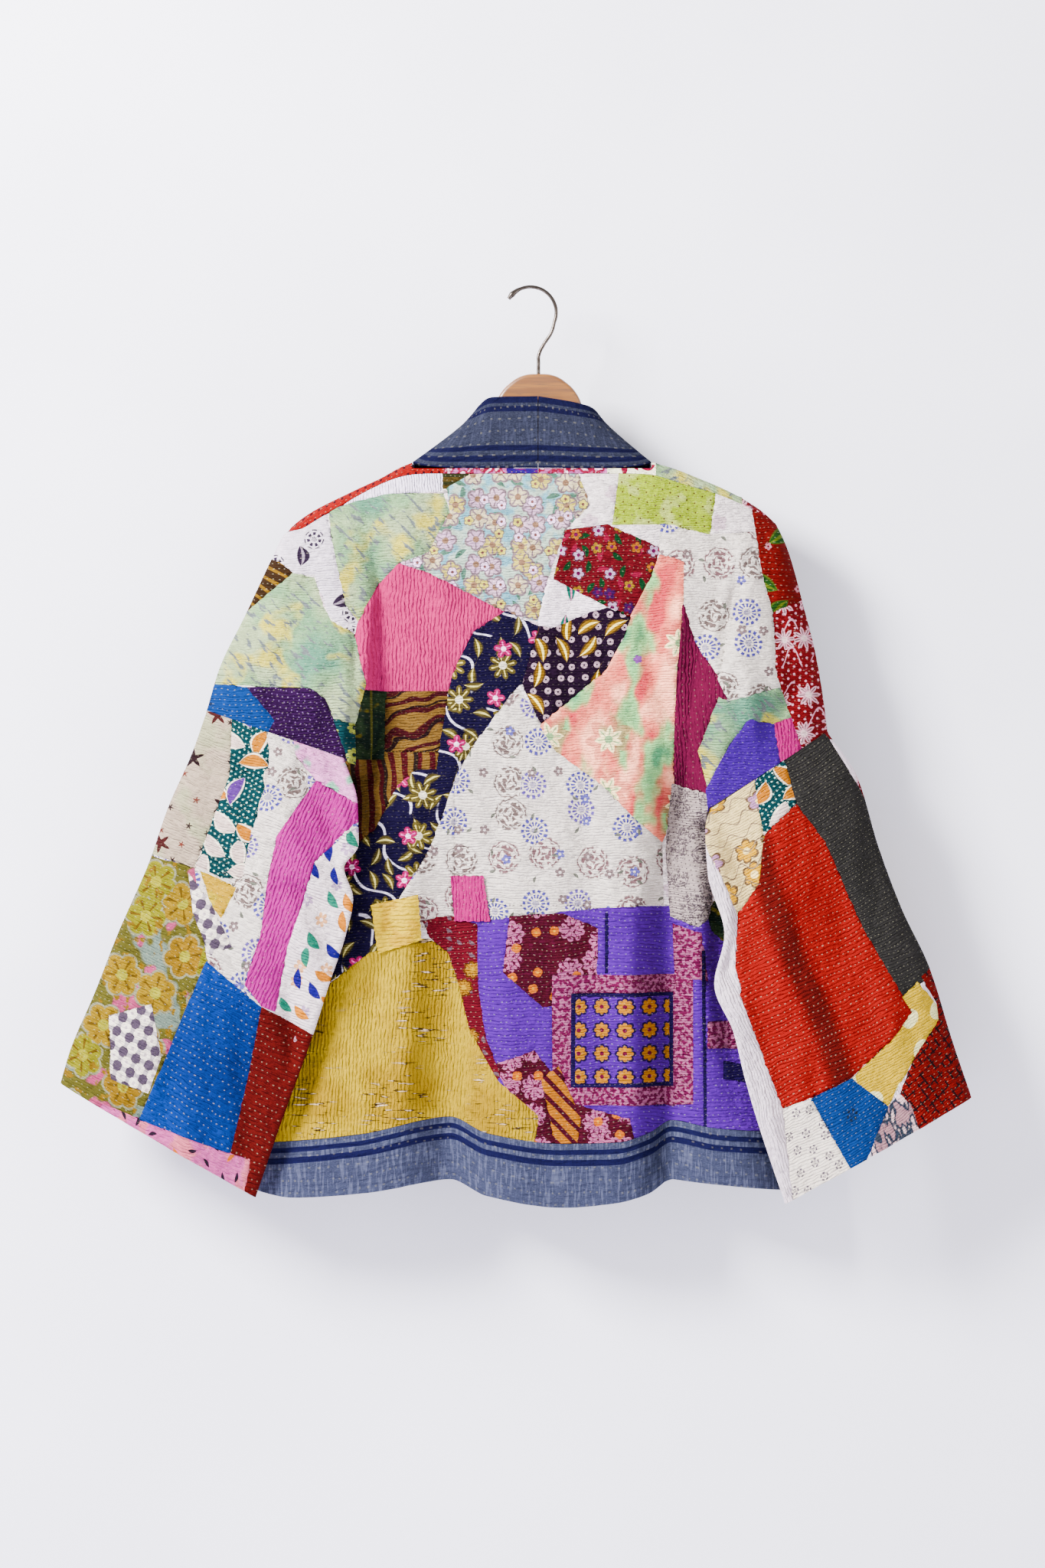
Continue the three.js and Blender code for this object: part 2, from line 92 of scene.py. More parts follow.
# outlines by height: (z, x)
sides = {
    "left": {
        "sign": -1,
        "outline": [(-224, -224), (-249, -236), (-302, -261), (-344, -281), (-384, -293)],
        "fold": [(-196, -168), (-300, -160), (-380, -161), (-427, -168)],
        "sideSeam": [(-427, -167.5), (-445, -166), (-475, -180), (-520, -203), (-800, -246), (-830, -249)],
        "sleeveOuter": [(-385, -293), (-422, -306), (-472, -328), (-521, -345), (-585, -373), (-641, -395),
                        (-690, -416), (-720, -425)],
        "sleeveInner": [(-428.5, -170), (-467, -158), (-504, -157), (-525, -170), (-553, -162),
                        (-583, -168), (-628, -183), (-675, -198), (-760, -229), (-821, -250)],
    },
    "right": {
        "sign": 1,
        "outline": [(-214, 220), (-239, 231), (-282, 243), (-330, 255), (-372, 262), (-403, 266)],
        "fold": [(-200, 199), (-245, 197), (-356, 168), (-472, 159)],
        "sideSeam": [(-472, 158.5), (-490, 157), (-520, 172), (-565, 196), (-800, 226), (-830, 228)],
        "sleeveOuter": [(-404, 266), (-442, 292), (-507, 312), (-563, 333), (-616, 358), (-683, 379),
                        (-733, 396)],
        "sleeveInner": [(-473.5, 161), (-491, 157), (-530, 159), (-585, 174), (-630, 165), (-672, 182),
                        (-712, 192), (-753, 204), (-827, 229)],
    },
}
seamDepth = {"outer": -22, "inner": -50}
sleeveOuterDepth = [(0, -22), (1, -22)]
sleeveInnerDepth = [(0, -50), (0.1, -60), (0.45, -58), (1, -44)]
sleeveHalf = [(0, 17), (0.1, 18), (0.45, 20), (1, 17)]
bandLeft = [
    (5.2, -13, -163.4, 5.2, -10.5, -98.6), (-36, -13, -163.4, -35, -10, -99.3),
    (-75, -12.6, -163.2, -46, -4, -106), (-98, -9.5, -161.6, -52, 5, -113.5),
    (-107.5, 0, -158.5, -55, 14, -121),
]
bandRight = [
    (5.8, -13, -163.4, 5.8, -10.5, -98.6), (44, -13, -163.4, 38, -9.5, -104),
    (78, -12.6, -163.2, 53, -3, -108.5), (98, -9.5, -161.6, 60, 6, -115), (107.5, 0, -158.5, 63, 15, -122),
]
bandFront = [
    (107.5, 12, -164, 52, 22, -137), (101, 22, -186, 41, 28, -171), (90, 28, -230, 27, 32, -225),
    (78, 28, -300, 13, 31, -300), (70, 28, -450, 6, 30, -450), (68, 28, -620, 4, 29, -620),
    (68, 28, -808, 4, 29, -808),
]


def clamp01(t):
    return np.clip(t, 0.0, 1.0)


def smooth(t):
    t = clamp01(t)
    return t * t * (3 - 2 * t)


def rounded(t):
    return np.sqrt(1 - (1 - clamp01(t)) ** 2)


def mix(a, b, t):
    return a + (b - a) * t


def along(rows, at):  # reads a table of (key, value) as a smooth curve
    keys = np.array([row[0] for row in rows], float)
    values = np.array([row[1] for row in rows], float)
    if keys[-1] < keys[0]:
        keys, values = keys[::-1], values[::-1]
    slope = np.diff(values) / np.diff(keys)
    product = slope[:-1] * slope[1:]
    total = np.where(slope[:-1] + slope[1:] == 0, 1, slope[:-1] + slope[1:])
    inner = np.where(product <= 0, 0, 2 * product / total)
    tangent = np.concatenate([[slope[0]], inner, [slope[-1]]])
    at = np.clip(np.asarray(at, float), keys[0], keys[-1])
    k = np.clip(np.searchsorted(keys, at, side="right"), 1, len(keys) - 1)
    span = keys[k] - keys[k - 1]
    t = (at - keys[k - 1]) / span
    ease = t * t * (3 - 2 * t)
    bend = span * (tangent[k - 1] * t * (1 - t) ** 2 - tangent[k] * t * t * (1 - t))
    return mix(values[k - 1], values[k], ease) + bend


def shoulderAt(x):
    return along(shoulderLine, x)


def hang(x, z):  # the middle surface between back and fronts, and how far each stands from it
    below = shoulderAt(x) - z
    middle = drape["lean"][0] * smooth(below / drape["lean"][1])
    half = drape["bodyHalfDepth"] + 0 * x
    spread = rounded(below / drape["shoulderRound"])
    steep = 0 * x
    for side in sides.values():
        sign = side["sign"]
        underZ, underX = side["fold"][-1]
        foldX = along(side["fold"], z)
        inward = (foldX - x) * sign
        outX = along(side["outline"], z)
        fromOutline = (outX - x) * sign
        across = clamp01(fromOutline / ((outX - foldX) * sign))
        startZ = side["fold"][0][0] - drape["foldAbove"]
        sleeveMiddle = mix(seamDepth["outer"], seamDepth["inner"], across)
        sleeveMiddle = sleeveMiddle * smooth((startZ - z) / drape["sleeveEase"])
        under = smooth((underZ - z) / drape["underEase"])
        width = drape["foldWidth"]
        fold = smooth((width - inward) / width) * smooth((startZ - z) / drape["foldEase"]) * (1 - under)
        middle = mix(middle, sleeveMiddle, fold)
        steep = steep + 2 * np.sqrt(fold * (1 - fold))
        half = mix(half, drape["sleeveHalfDepth"], fold)
        spread = spread * mix(1, rounded(fromOutline / drape["edgeRound"]), fold)
        fromSeam = (along(side["sideSeam"], z) - x) * sign
        sideRound = rounded(fromSeam / drape["edgeRound"])
        spread = spread * mix(1, sideRound, smooth((underZ - z) / drape["sideEase"]))
        spread = spread * smooth(np.hypot(x - underX, z - underZ) / drape["underSpread"])
    return middle, drape["edgeHalfDepth"] * (1 + drape["steepRoom"] * steep) + half * spread


def foldIn(x, z):
    push = 0 * x
    for fold in backFolds:
        down = smooth((fold["start"] - z) / (fold["start"] - fold["end"]))
        off = (x - fold["x"] - fold["drift"] * down) / fold["width"]
        push = push + fold["depth"] * down * np.exp(-off * off)
    return push


def backY(x, z):
    middle, depth = hang(x, z)
    return middle - depth + foldIn(x, z)


def frontY(x, z):
    middle, depth = hang(x, z)
    return middle + depth


# creases: soft troughs and ridges in each panel
# x1, z1 to x2, z2, depth (a trough is positive, a ridge negative), width

backCreases = [
    (-150, -215, -128, -330, 5, 9), (-140, -330, -118, -470, 4, 10), (-112, -240, -60, -300, -3, 12),
    (-30, -440, -48, -640, 4, 13), (-20, -620, -14, -770, -4, 16), (45, -470, 60, -700, 4, 14),
    (85, -560, 92, -760, -5, 12), (100, -300, 128, -420, 5, 11), (140, -270, 112, -380, -4, 12),
    (-120, -520, -150, -700, 4, 12), (-112, -640, -122, -765, -4, 10), (165, -560, 178, -750, 4, 11),
    (150, -500, 150, -690, -5, 9), (20, -230, 60, -330, 3, 18), (-60, -200, 10, -214, 2.5, 9),
    (-200, -260, -228, -360, 4, 12), (-185, -300, -196, -400, -4, 10), (-268, -330, -215, -385, 4, 11),
    (212, -270, 236, -360, 4, 10), (190, -330, 200, -420, -5, 9), (246, -350, 205, -410, 4, 10),
    (-5, -300, 20, -380, -3, 20), (-90, -360, -40, -430, 3, 14), (60, -380, 110, -470, -3, 13),
    (-158, -300, -157, -380, 8, 6.5), (-157, -380, -163, -427, 11, 6.5), (186, -262, 163, -356, 9, 7),
    (162, -356, 154, -465, 11, 7), (186, -570, 196, -740, 8, 22), (-196, -650, -214, -760, 6, 14),
]
leftSleeveCreases = [
    (-300, -420, -215, -470, 5, 11), (-205, -440, -168, -520, 6, 9), (-240, -450, -182, -560, -5, 10),
    (-176, -470, -160, -500, -5, 12), (-330, -500, -250, -560, 4, 14), (-225, -540, -172, -566, 6, 8),
    (-230, -600, -205, -730, 5, 12), (-290, -560, -300, -700, -4, 16), (-340, -560, -380, -690, 4, 14),
    (-262, -640, -262, -780, 4, 12), (-210, -560, -188, -640, -4, 10), (-320, -700, -330, -760, 4, 12),
]
rightSleeveCreases = [
    (255, -440, 190, -470, 4, 11), (175, -490, 200, -560, 6, 9), (163, -520, 178, -600, -6, 8),
    (186, -560, 170, -622, 6, 8), (166, -622, 182, -680, -5, 8), (178, -672, 196, -742, 6, 9),
    (215, -500, 232, -640, -4, 13), (262, -520, 300, -640, 4, 16), (200, -640, 232, -760, 5, 12),
    (300, -600, 340, -720, -4, 15), (250, -680, 262, -770, 4, 12), (210, -740, 222, -815, -5, 8),
]
frontCreases = [
    (-150, 60, -120, 260, 5, 14), (-110, 300, -130, 560, -5, 16), (-180, 420, -170, 590, 5, 14),
    (150, 70, 118, 280, 5, 14), (112, 300, 126, 560, -5, 16), (176, 430, 168, 590, 5, 14),
    (-230, 60, -200, 140, 4, 12), (222, 60, 200, 150, 4, 12),
]


def creased(x, z, creases):
    total = 0 * x
    for x1, z1, x2, z2, depth, width in creases:
        dx, dz = x2 - x1, z2 - z1
        length = math.hypot(dx, dz)
        t = clamp01(((x - x1) * dx + (z - z1) * dz) / length ** 2)
        off = np.hypot(x - x1 - t * dx, z - z1 - t * dz)
        taper = 0.35 + 0.65 * np.sin(math.pi * t)
        total = total + creaseDepth * depth * taper * np.exp(-(off / width) ** 2)
    return total


# quilting ripples and the drag of the hanging cloth, in millimetres
pucker = {"size": 26, "height": 1.3, "fineSize": 11, "fineHeight": 0.7, "dragSize": 20, "dragHeight": 2.4}
creaseDepth = 1.35


def puckered(x, z, seed):  # hand quilting draws the cloth up in small uneven ripples
    out = np.empty(len(x))
    for k in range(len(x)):
        wide = noise.noise(Vector((x[k] / pucker["size"], z[k] / (pucker["size"] * 0.6), seed)))
        fine = noise.noise(Vector((x[k] / pucker["fineSize"], z[k] / (pucker["fineSize"] * 0.5), seed + 9)))
        drag = noise.noise(Vector((x[k] / pucker["dragSize"], z[k] / (pucker["dragSize"] * 4), seed + 20)))
        out[k] = pucker["height"] * wide + pucker["fineHeight"] * fine + pucker["dragHeight"] * drag
    return out


# cutting a panel of cloth along its patch outlines

def inside(polygon, x, y):
    hit = np.zeros(len(x), bool)
    for k in range(len(polygon)):
        x1, y1 = polygon[k]
        x2, y2 = polygon[k - 1]
        if y1 == y2:
            continue
        crosses = ((y1 > y) != (y2 > y)) & (x < (x2 - x1) * (y - y1) / (y2 - y1) + x1)
        hit ^= crosses
    return hit


def stepped(points, closed, gap):  # puts points along a line of corners, a gap apart
    out = []
    last = len(points) if closed else len(points) - 1
    for k in range(last):
        a = Vector(points[k])
        b = Vector(points[(k + 1) % len(points)])
        count = max(1, round((b - a).length / gap))
        out += [a.lerp(b, n / count) for n in range(count)]
    return out if closed else out + [Vector(points[-1])]


def cutPanel(outline, patches, gap):  # triangles of a flat panel, with clean edges between patches
    points = []
    edges = []
    for loop in [outline] + [corners for _, corners in patches]:
        start = len(points)
        ring = stepped(loop, True, gap)
        points += ring
        edges += [(start + k, start + (k + 1) % len(ring)) for k in range(len(ring))]
    lowX, highX = min(p[0] for p in outline), max(p[0] for p in outline)
    lowY, highY = min(p[1] for p in outline), max(p[1] for p in outline)
    rows = int((highY - lowY) / (gap * 0.87)) + 1
    columns = int((highX - lowX) / gap) + 2
    gridX = np.array([lowX + (i + 0.5 * (j % 2)) * gap for j in range(rows) for i in range(columns)])
    gridY = np.array([lowY + j * gap * 0.87 for j in range(rows) for i in range(columns)])
    keep = inside(outline, gridX, gridY)
    points += [Vector((a, b)) for a, b in zip(gridX[keep], gridY[keep])]
    verts, _, faces, _, _, _ = delaunay_2d_cdt(points, edges, [], 0, 0.02)
    flat = np.array([(v[0], v[1]) for v in verts])
    faces = np.array([f for f in faces if len(f) == 3])
    centre = flat[faces].mean(axis=1)
    faces = faces[inside(outline, centre[:, 0], centre[:, 1])]
    centre = flat[faces].mean(axis=1)
    which = np.zeros(len(faces), int)
    for k, (_, corners) in enumerate(patches):
        which[inside(corners, centre[:, 0], centre[:, 1])] = k
    one = flat[faces[:, 1]] - flat[faces[:, 0]]
    two = flat[faces[:, 2]] - flat[faces[:, 0]]
    flip = one[:, 0] * two[:, 1] - one[:, 1] * two[:, 0] < 0
    faces[flip] = faces[flip][:, ::-1]
    return flat, faces, which


def sharpenRim(piece):  # keeps the cut edges of a cloth crisp
    draft = bmesh.new()
    draft.from_mesh(piece.data)
    for edge in draft.edges:
        edge.smooth = not edge.is_boundary
    draft.to_mesh(piece.data)
    draft.free()


def hangUp(name, data):  # puts a new object in the scene
    piece = bpy.data.objects.new(name, data)
    bpy.context.scene.collection.objects.link(piece)
    return piece


def sewUp(name, mesh, uv, thick=drape["clothThick"]):  # lays the print on a sheet and gives it its wall
    layer = mesh.uv_layers.new(name="cloth")
    layer.data.foreach_set("uv", (uv * mm).reshape(-1))
    mesh.polygons.foreach_set("use_smooth", np.ones(len(mesh.polygons), bool))
    piece = hangUp(name, mesh)
    wall = piece.modifiers.new("cloth wall", "SOLIDIFY")
    wall.thickness = thick * mm
    wall.offset = 0
    wall.material_offset = len(mesh.materials) - 1
    sharpenRim(piece)
    return piece


def makeCloth(name, flat, faces, which, patches, place, uvAt, facing=-1):
    body = place(flat)
    used, index = np.unique(faces, return_inverse=True)
    faces = index.reshape(faces.shape)
    body, flat = body[used], flat[used]
    mesh = bpy.data.meshes.new(name)
    ordered = faces if facing < 0 else faces[:, ::-1]
    mesh.from_pydata((body * mm).tolist(), [], ordered.tolist())
    names = list(dict.fromkeys(label for label, _ in patches))
    for material in names + ["reverse"]:
        mesh.materials.append(prints[material])
    slots = np.array([names.index(label) for label, _ in patches])
    mesh.polygons.foreach_set("material_index", slots[which].astype(np.int32))
    return sewUp(name, mesh, uvAt(flat)[ordered.reshape(-1)])


# colour and node helpers

studioLight = 4.4  # how bright a white cloth is lit; the dyes are mixed for it
toWide = np.array([(0.6274, 0.3293, 0.0433), (0.0691, 0.9195, 0.0113), (0.0164, 0.0880, 0.8956)])
filmInset = np.array([(0.8566, 0.0951, 0.0483), (0.1373, 0.7612, 0.1014), (0.1119, 0.0768, 0.8113)])
filmOutset = np.array([(1.1271, -0.1106, -0.0165), (-0.1413, 1.1578, -0.0165), (-0.1413, -0.1106, 1.2519)])
film = {"stops": 16.5, "darkest": -12.474, "gamma": 2.2}
clothTone = {"lift": 1.03, "slope": 0.93, "darkest": 0.0012, "palest": 0.92}


def filmCurve(x):
    low = 0.4298 * x ** 2 + 0.1191 * x - 0.00232
    return 15.5 * x ** 6 - 40.14 * x ** 5 + 31.96 * x ** 4 - 6.868 * x ** 3 + low


def dye(red, green, blue):  # the cloth colour that shows as this screen colour once it is lit and filmed
    wide = toWide @ (np.array([red, green, blue]) / 255) ** film["gamma"]
    wide = np.linalg.solve(filmOutset, np.maximum(wide, 0) ** (1 / film["gamma"]))
    steps = np.linspace(0.02, 1, 400)
    light = 2 ** (np.interp(wide, filmCurve(steps), steps) * film["stops"] + film["darkest"])
    light = np.linalg.solve(toWide, np.linalg.solve(filmInset, light))
    cloth = clothTone["lift"] * np.clip(light / studioLight, clothTone["darkest"], 1) ** clothTone["slope"]
    return (*[float(value) for value in np.minimum(cloth, clothTone["palest"])], 1)


def put(tree, kind, **values):
    node = tree.nodes.new("ShaderNode" + kind)
    for key, value in values.items():
        setattr(node, key, value)
    return node


def feed(tree, socket, value):  # links another node's output, or sets a plain value
    if hasattr(value, "is_linked"):
        tree.links.new(value, socket)
    else:
        socket.default_value = value


def fill(tree, node, values):
    for key, value in values.items():
        feed(tree, node.inputs[key], value)
    return node


def calc(tree, operation, *values):
    return fill(tree, put(tree, "Math", operation=operation), dict(enumerate(values))).outputs[0]


def times(tree, a, b):
    return calc(tree, "MULTIPLY", a, b)


def plus(tree, a, b):
    return calc(tree, "ADD", a, b)


def minus(tree, a, b):
    return calc(tree, "SUBTRACT", a, b)


def per(tree, a, b):
    return calc(tree, "DIVIDE", a, b)


def vectorCalc(tree, operation, *values):
    node = put(tree, "VectorMath", operation=operation)
    sockets = (0, "Scale") if operation == "SCALE" else (0, 1)
    fill(tree, node, dict(zip(sockets, values)))
    return node.outputs["Value"] if operation == "LENGTH" else node.outputs[0]


def stretch(tree, vector, amounts):
    return vectorCalc(tree, "MULTIPLY", vector, amounts)


def soften(tree, value, low, high):  # 0 at low, 1 at high
    node = put(tree, "MapRange", interpolation_type="SMOOTHSTEP")
    return fill(tree, node, {"Value": value, "From Min": low, "From Max": high}).outputs[0]


def lay(tree, mask, under, over):  # one colour laid over another where the mask is 1
    return fill(tree, put(tree, "Mix", data_type="RGBA"), {0: mask, 6: under, 7: over}).outputs[2]


def split(tree, vector):
    node = fill(tree, put(tree, "SeparateXYZ"), {0: vector})
    return node.outputs[0], node.outputs[1], node.outputs[2]


def joined(tree, x, y, z=0):
    return fill(tree, put(tree, "CombineXYZ"), {0: x, 1: y, 2: z}).outputs[0]


def grain(tree, vector, scale, detail=2, rough=0.5):
    settings = {"Vector": vector, "Scale": scale, "Detail": detail, "Roughness": rough}
    return fill(tree, put(tree, "TexNoise"), settings).outputs["Fac"]


def sway(tree, vector, scale, amount, detail=1):  # drifts either side of zero
    return times(tree, minus(tree, grain(tree, vector, scale, detail), 0.5), amount)


def fromMiddle(tree, cycle):  # how far from the middle of its repeat
    return calc(tree, "ABSOLUTE", minus(tree, calc(tree, "FRACT", cycle), 0.5))


def turn(tree, vector, angle):
    node = put(tree, "VectorRotate", rotation_type="Z_AXIS")
    return fill(tree, node, {"Vector": vector, "Angle": angle}).outputs[0]


def chance(tree, a, b):  # a steady random number for each pair of whole numbers
    node = put(tree, "TexWhiteNoise", noise_dimensions="2D")
    return fill(tree, node, {"Vector": joined(tree, a, b)}).outputs["Value"]


def newGroup(name, inputs, outputs):
    tree = bpy.data.node_groups.new(name, "ShaderNodeTree")
    kinds = {"f": "NodeSocketFloat", "v": "NodeSocketVector", "c": "NodeSocketColor"}
    for label, kind, value in inputs:
        socket = tree.interface.new_socket(name=label, in_out="INPUT", socket_type=kinds[kind])
        if value is not None:
            socket.default_value = value
    for label, kind in outputs:
        tree.interface.new_socket(name=label, in_out="OUTPUT", socket_type=kinds[kind])
    return tree, tree.nodes.new("NodeGroupInput").outputs, tree.nodes.new("NodeGroupOutput")


def newMaterial(name):
    material = bpy.data.materials.new(name)
    material.use_nodes = True
    return material, material.node_tree, material.node_tree.nodes["Principled BSDF"]


def bumped(tree, shader, height, strength, distance):  # fine relief on a surface
    bump = fill(tree, put(tree, "Bump"), {"Strength": strength, "Distance": distance, "Height": height})
    feed(tree, shader.inputs["Normal"], bump.outputs[0])


# effects that many cloths share
fullTurn = 6.283


# sway: scale and size of each drift of the rows; the rest are shares of a pitch or of a row
stitch = {
    "slowSway": (13, 0.010), "quickSway": (75, 0.0042), "pitch": (0.8, 0.5), "length": (0.2, 0.2),
    "missed": 0.12, "threadEdge": (0.09, 0.06), "valley": (0.46, 0.08), "gathers": (150, 330, 100),
}


def runningStitch():  # white quilting thread in hand-sewn rows, and the ripple it draws up
    tree, given, out = newGroup("running stitch", [
        ("Vector", "v", None), ("Angle", "f", 0), ("Row Gap", "f", 0.006), ("Pitch", "f", 0.0048),
        ("Seed", "f", 0)], [("Thread", "f"), ("Relief", "f")])
    moved = vectorCalc(tree, "ADD", given["Vector"], joined(tree, given["Seed"], given["Seed"]))
    turned = turn(tree, moved, given["Angle"])
    drift = plus(tree, sway(tree, turned, *stitch["slowSway"]), sway(tree, turned, *stitch["quickSway"]))
    x, y, _ = split(tree, turned)
    rows = per(tree, plus(tree, y, drift), given["Row Gap"])
    row = calc(tree, "FLOOR", rows)
    rowChance = chance(tree, row, given["Seed"])
    least, more = stitch["pitch"]
    pitch = times(tree, given["Pitch"], plus(tree, least, times(tree, rowChance, more)))
    run = plus(tree, per(tree, x, pitch), times(tree, rowChance, 37))
    stitchChance = chance(tree, calc(tree, "FLOOR", run), row)
    least, more = stitch["length"]
    length = plus(tree, least, times(tree, stitchChance, more))
    dash = calc(tree, "FRACT", run)
    inRow = soften(tree, fromMiddle(tree, rows), *stitch["threadEdge"])
    dashEnd = soften(tree, dash, plus(tree, length, 0.06), minus(tree, length, 0.02))
    inDash = times(tree, soften(tree, dash, 0.02, 0.1), dashEnd)
    kept = calc(tree, "GREATER_THAN", stitchChance, stitch["missed"])
    thread = times(tree, times(tree, inRow, inDash), kept)
    valley = soften(tree, fromMiddle(tree, times(tree, rows, 2)), *stitch["valley"])
    gather = grain(tree, stretch(tree, turned, stitch["gathers"]), 1, 2)
    swell = times(tree, valley, minus(tree, times(tree, gather, 1.5), 0.25))
    relief = plus(tree, swell, plus(tree, times(tree, gather, 1.1), times(tree, thread, 0.3)))
    fill(tree, out, {"Thread": thread, "Relief": relief})
    return tree


yarns = {"across": (140, 1500, 1), "upright": (1500, 140, 1)}


def cottonWeave():  # fine uneven yarns: their relief and their tone
    tree, given, out = newGroup("cotton weave", [("Vector", "v", None), ("Slub", "f", 0.3)],
                                [("Relief", "f"), ("Tone", "f")])
    warp, weft = [grain(tree, stretch(tree, given["Vector"], size), 1, 2) for size in yarns.values()]
    yarn = plus(tree, warp, weft)
    swing = times(tree, minus(tree, yarn, 1), given["Slub"])
    fill(tree, out, {"Relief": times(tree, yarn, 0.5), "Tone": plus(tree, 1, swing)})
    return tree


def wornDye():  # years of washing: paler and darker clouds, and a little rubbed white
    tree, given, out = newGroup("worn dye", [
        ("Colour", "c", None), ("Vector", "v", None), ("Fade", "f", 0.2), ("Seed", "f", 0)],
        [("Colour", "c")])
    moved = vectorCalc(tree, "ADD", given["Vector"], joined(tree, given["Seed"], 0))
    lift = sway(tree, moved, 22, given["Fade"], 3)
    rub = grain(tree, moved, 160, 3, 0.6)
    value = plus(tree, 1, times(tree, lift, 1.3))
    shade = fill(tree, put(tree, "HueSaturation"), {"Color": given["Colour"], "Value": value}).outputs[0]
    pale = fill(tree, put(tree, "HueSaturation"), {"Color": shade, "Value": 1.5}).outputs[0]
    white = times(tree, soften(tree, rub, 0.58, 0.75), times(tree, given["Fade"], 0.6))
    fill(tree, out, {"Colour": lay(tree, white, shade, pale)})
    return tree


def scatter():  # a field of motifs: where each pixel is from its own motif's middle
    tree, given, out = newGroup("scatter", [
        ("Vector", "v", None), ("Spacing", "f", 0.03), ("Loose", "f", 0.6), ("Turn", "f", fullTurn),
        ("Seed", "f", 0)], [("Local", "v"), ("Pick", "f"), ("Other", "f")])
    scaled = vectorCalc(tree, "SCALE", given["Vector"], per(tree, 1, given["Spacing"]))
    scaled = vectorCalc(tree, "ADD", scaled, joined(tree, given["Seed"], times(tree, given["Seed"], 1.7)))
    cells = put(tree, "TexVoronoi", voronoi_dimensions="2D")
    fill(tree, cells, {"Vector": scaled, "Scale": 1, "Randomness": given["Loose"]})
    away = vectorCalc(tree, "SUBTRACT", scaled, cells.outputs["Position"])
    pick, spin, other = split(tree, cells.outputs["Color"])
    x, y, _ = split(tree, vectorCalc(tree, "SCALE", away, given["Spacing"]))
    local = turn(tree, joined(tree, x, y), times(tree, spin, given["Turn"]))
    fill(tree, out, {"Local": local, "Pick": pick, "Other": other})
    return tree


def polar(tree, local):
    x, y, _ = split(tree, local)
    return vectorCalc(tree, "LENGTH", local), calc(tree, "ARCTAN2", y, x)


def bloom():
    tree, given, out = newGroup("flower", [
        ("Local", "v", None), ("Radius", "f", 0.01), ("Petals", "f", 5), ("Notch", "f", 0.35),
        ("Point", "f", 0)], [("Petals", "f"), ("Edge", "f"), ("Heart", "f"), ("Vein", "f")])
    r, a = polar(tree, given["Local"])
    half = times(tree, a, times(tree, given["Petals"], 0.5))
    lobe = calc(tree, "ABSOLUTE", calc(tree, "COSINE", half))
    dip = minus(tree, 1, calc(tree, "POWER", lobe, 0.7))
    sharpDip = calc(tree, "ABSOLUTE", calc(tree, "SINE", half))
    dip = plus(tree, dip, times(tree, given["Point"], minus(tree, sharpDip, dip)))
    reach = minus(tree, 1, times(tree, given["Notch"], dip))
    share = per(tree, r, times(tree, given["Radius"], reach))
    petals = soften(tree, share, 1.03, 0.97)
    fill(tree, out, {
        "Petals": petals, "Edge": times(tree, soften(tree, share, 0.78, 0.84), petals),
        "Heart": soften(tree, per(tree, r, given["Radius"]), 0.3, 0.25),
        "Vein": times(tree, soften(tree, lobe, 0.93, 0.985), soften(tree, share, 0.85, 0.75))})
    return tree


def leaf():
    tree, given, out = newGroup("leaf", [("Local", "v", None), ("Length", "f", 0.012), ("Width", "f", 0.004)],
                                [("Leaf", "f"), ("Rib", "f"), ("Rim", "f")])
    x, y, _ = split(tree, given["Local"])
    share = per(tree, x, given["Length"])
    bow = minus(tree, 1, times(tree, share, share))
    width = times(tree, given["Width"], bow)
    bend = times(tree, minus(tree, bow, 0.5), times(tree, given["Width"], 0.5))
    ratio = per(tree, calc(tree, "ABSOLUTE", plus(tree, y, bend)), calc(tree, "MAXIMUM", width, 0.00005))
    whole = soften(tree, ratio, 1.05, 0.9)
    fill(tree, out, {"Leaf": whole, "Rib": times(tree, whole, soften(tree, ratio, 0.28, 0.14)),
                     "Rim": times(tree, whole, soften(tree, ratio, 0.7, 0.8))})
    return tree


def dottedRosette():  # rings of dashes as a block-printed bloom; with no spokes, a rose of wandering rings
    tree, given, out = newGroup("dotted rosette", [
        ("Local", "v", None), ("Radius", "f", 0.011), ("Spokes", "f", 12), ("Rings", "f", 3),
        ("Wander", "f", 0.15)], [("Ink", "f")])
    r, a = polar(tree, given["Local"])
    stray = sway(tree, given["Local"], 190, given["Wander"])
    share = plus(tree, per(tree, r, given["Radius"]), stray)
    ring = calc(tree, "SINE", times(tree, share, times(tree, given["Rings"], fullTurn)))
    spoke = calc(tree, "SINE", plus(tree, times(tree, a, given["Spokes"]), times(tree, stray, 9)))
    dash = times(tree, soften(tree, ring, -0.8, -0.4), soften(tree, spoke, -0.5, -0.05))
    fill(tree, out, {"Ink": times(tree, dash, soften(tree, share, 1.04, 0.94))})
    return tree


def dotGrid():
    tree, given, out = newGroup("dot grid", [
        ("Vector", "v", None), ("Spacing", "f", 0.006), ("Radius", "f", 0.0011)], [("Dots", "f")])
    x, y, _ = split(tree, given["Vector"])
    row = per(tree, y, given["Spacing"])
    shift = times(tree, calc(tree, "MODULO", calc(tree, "FLOOR", row), 2), 0.5)
    column = plus(tree, per(tree, x, given["Spacing"]), shift)
    off = joined(tree, fromMiddle(tree, column), fromMiddle(tree, row))
    away = times(tree, vectorCalc(tree, "LENGTH", off), given["Spacing"])
    fill(tree, out, {"Dots": soften(tree, per(tree, away, given["Radius"]), 1.15, 0.85)})
    return tree


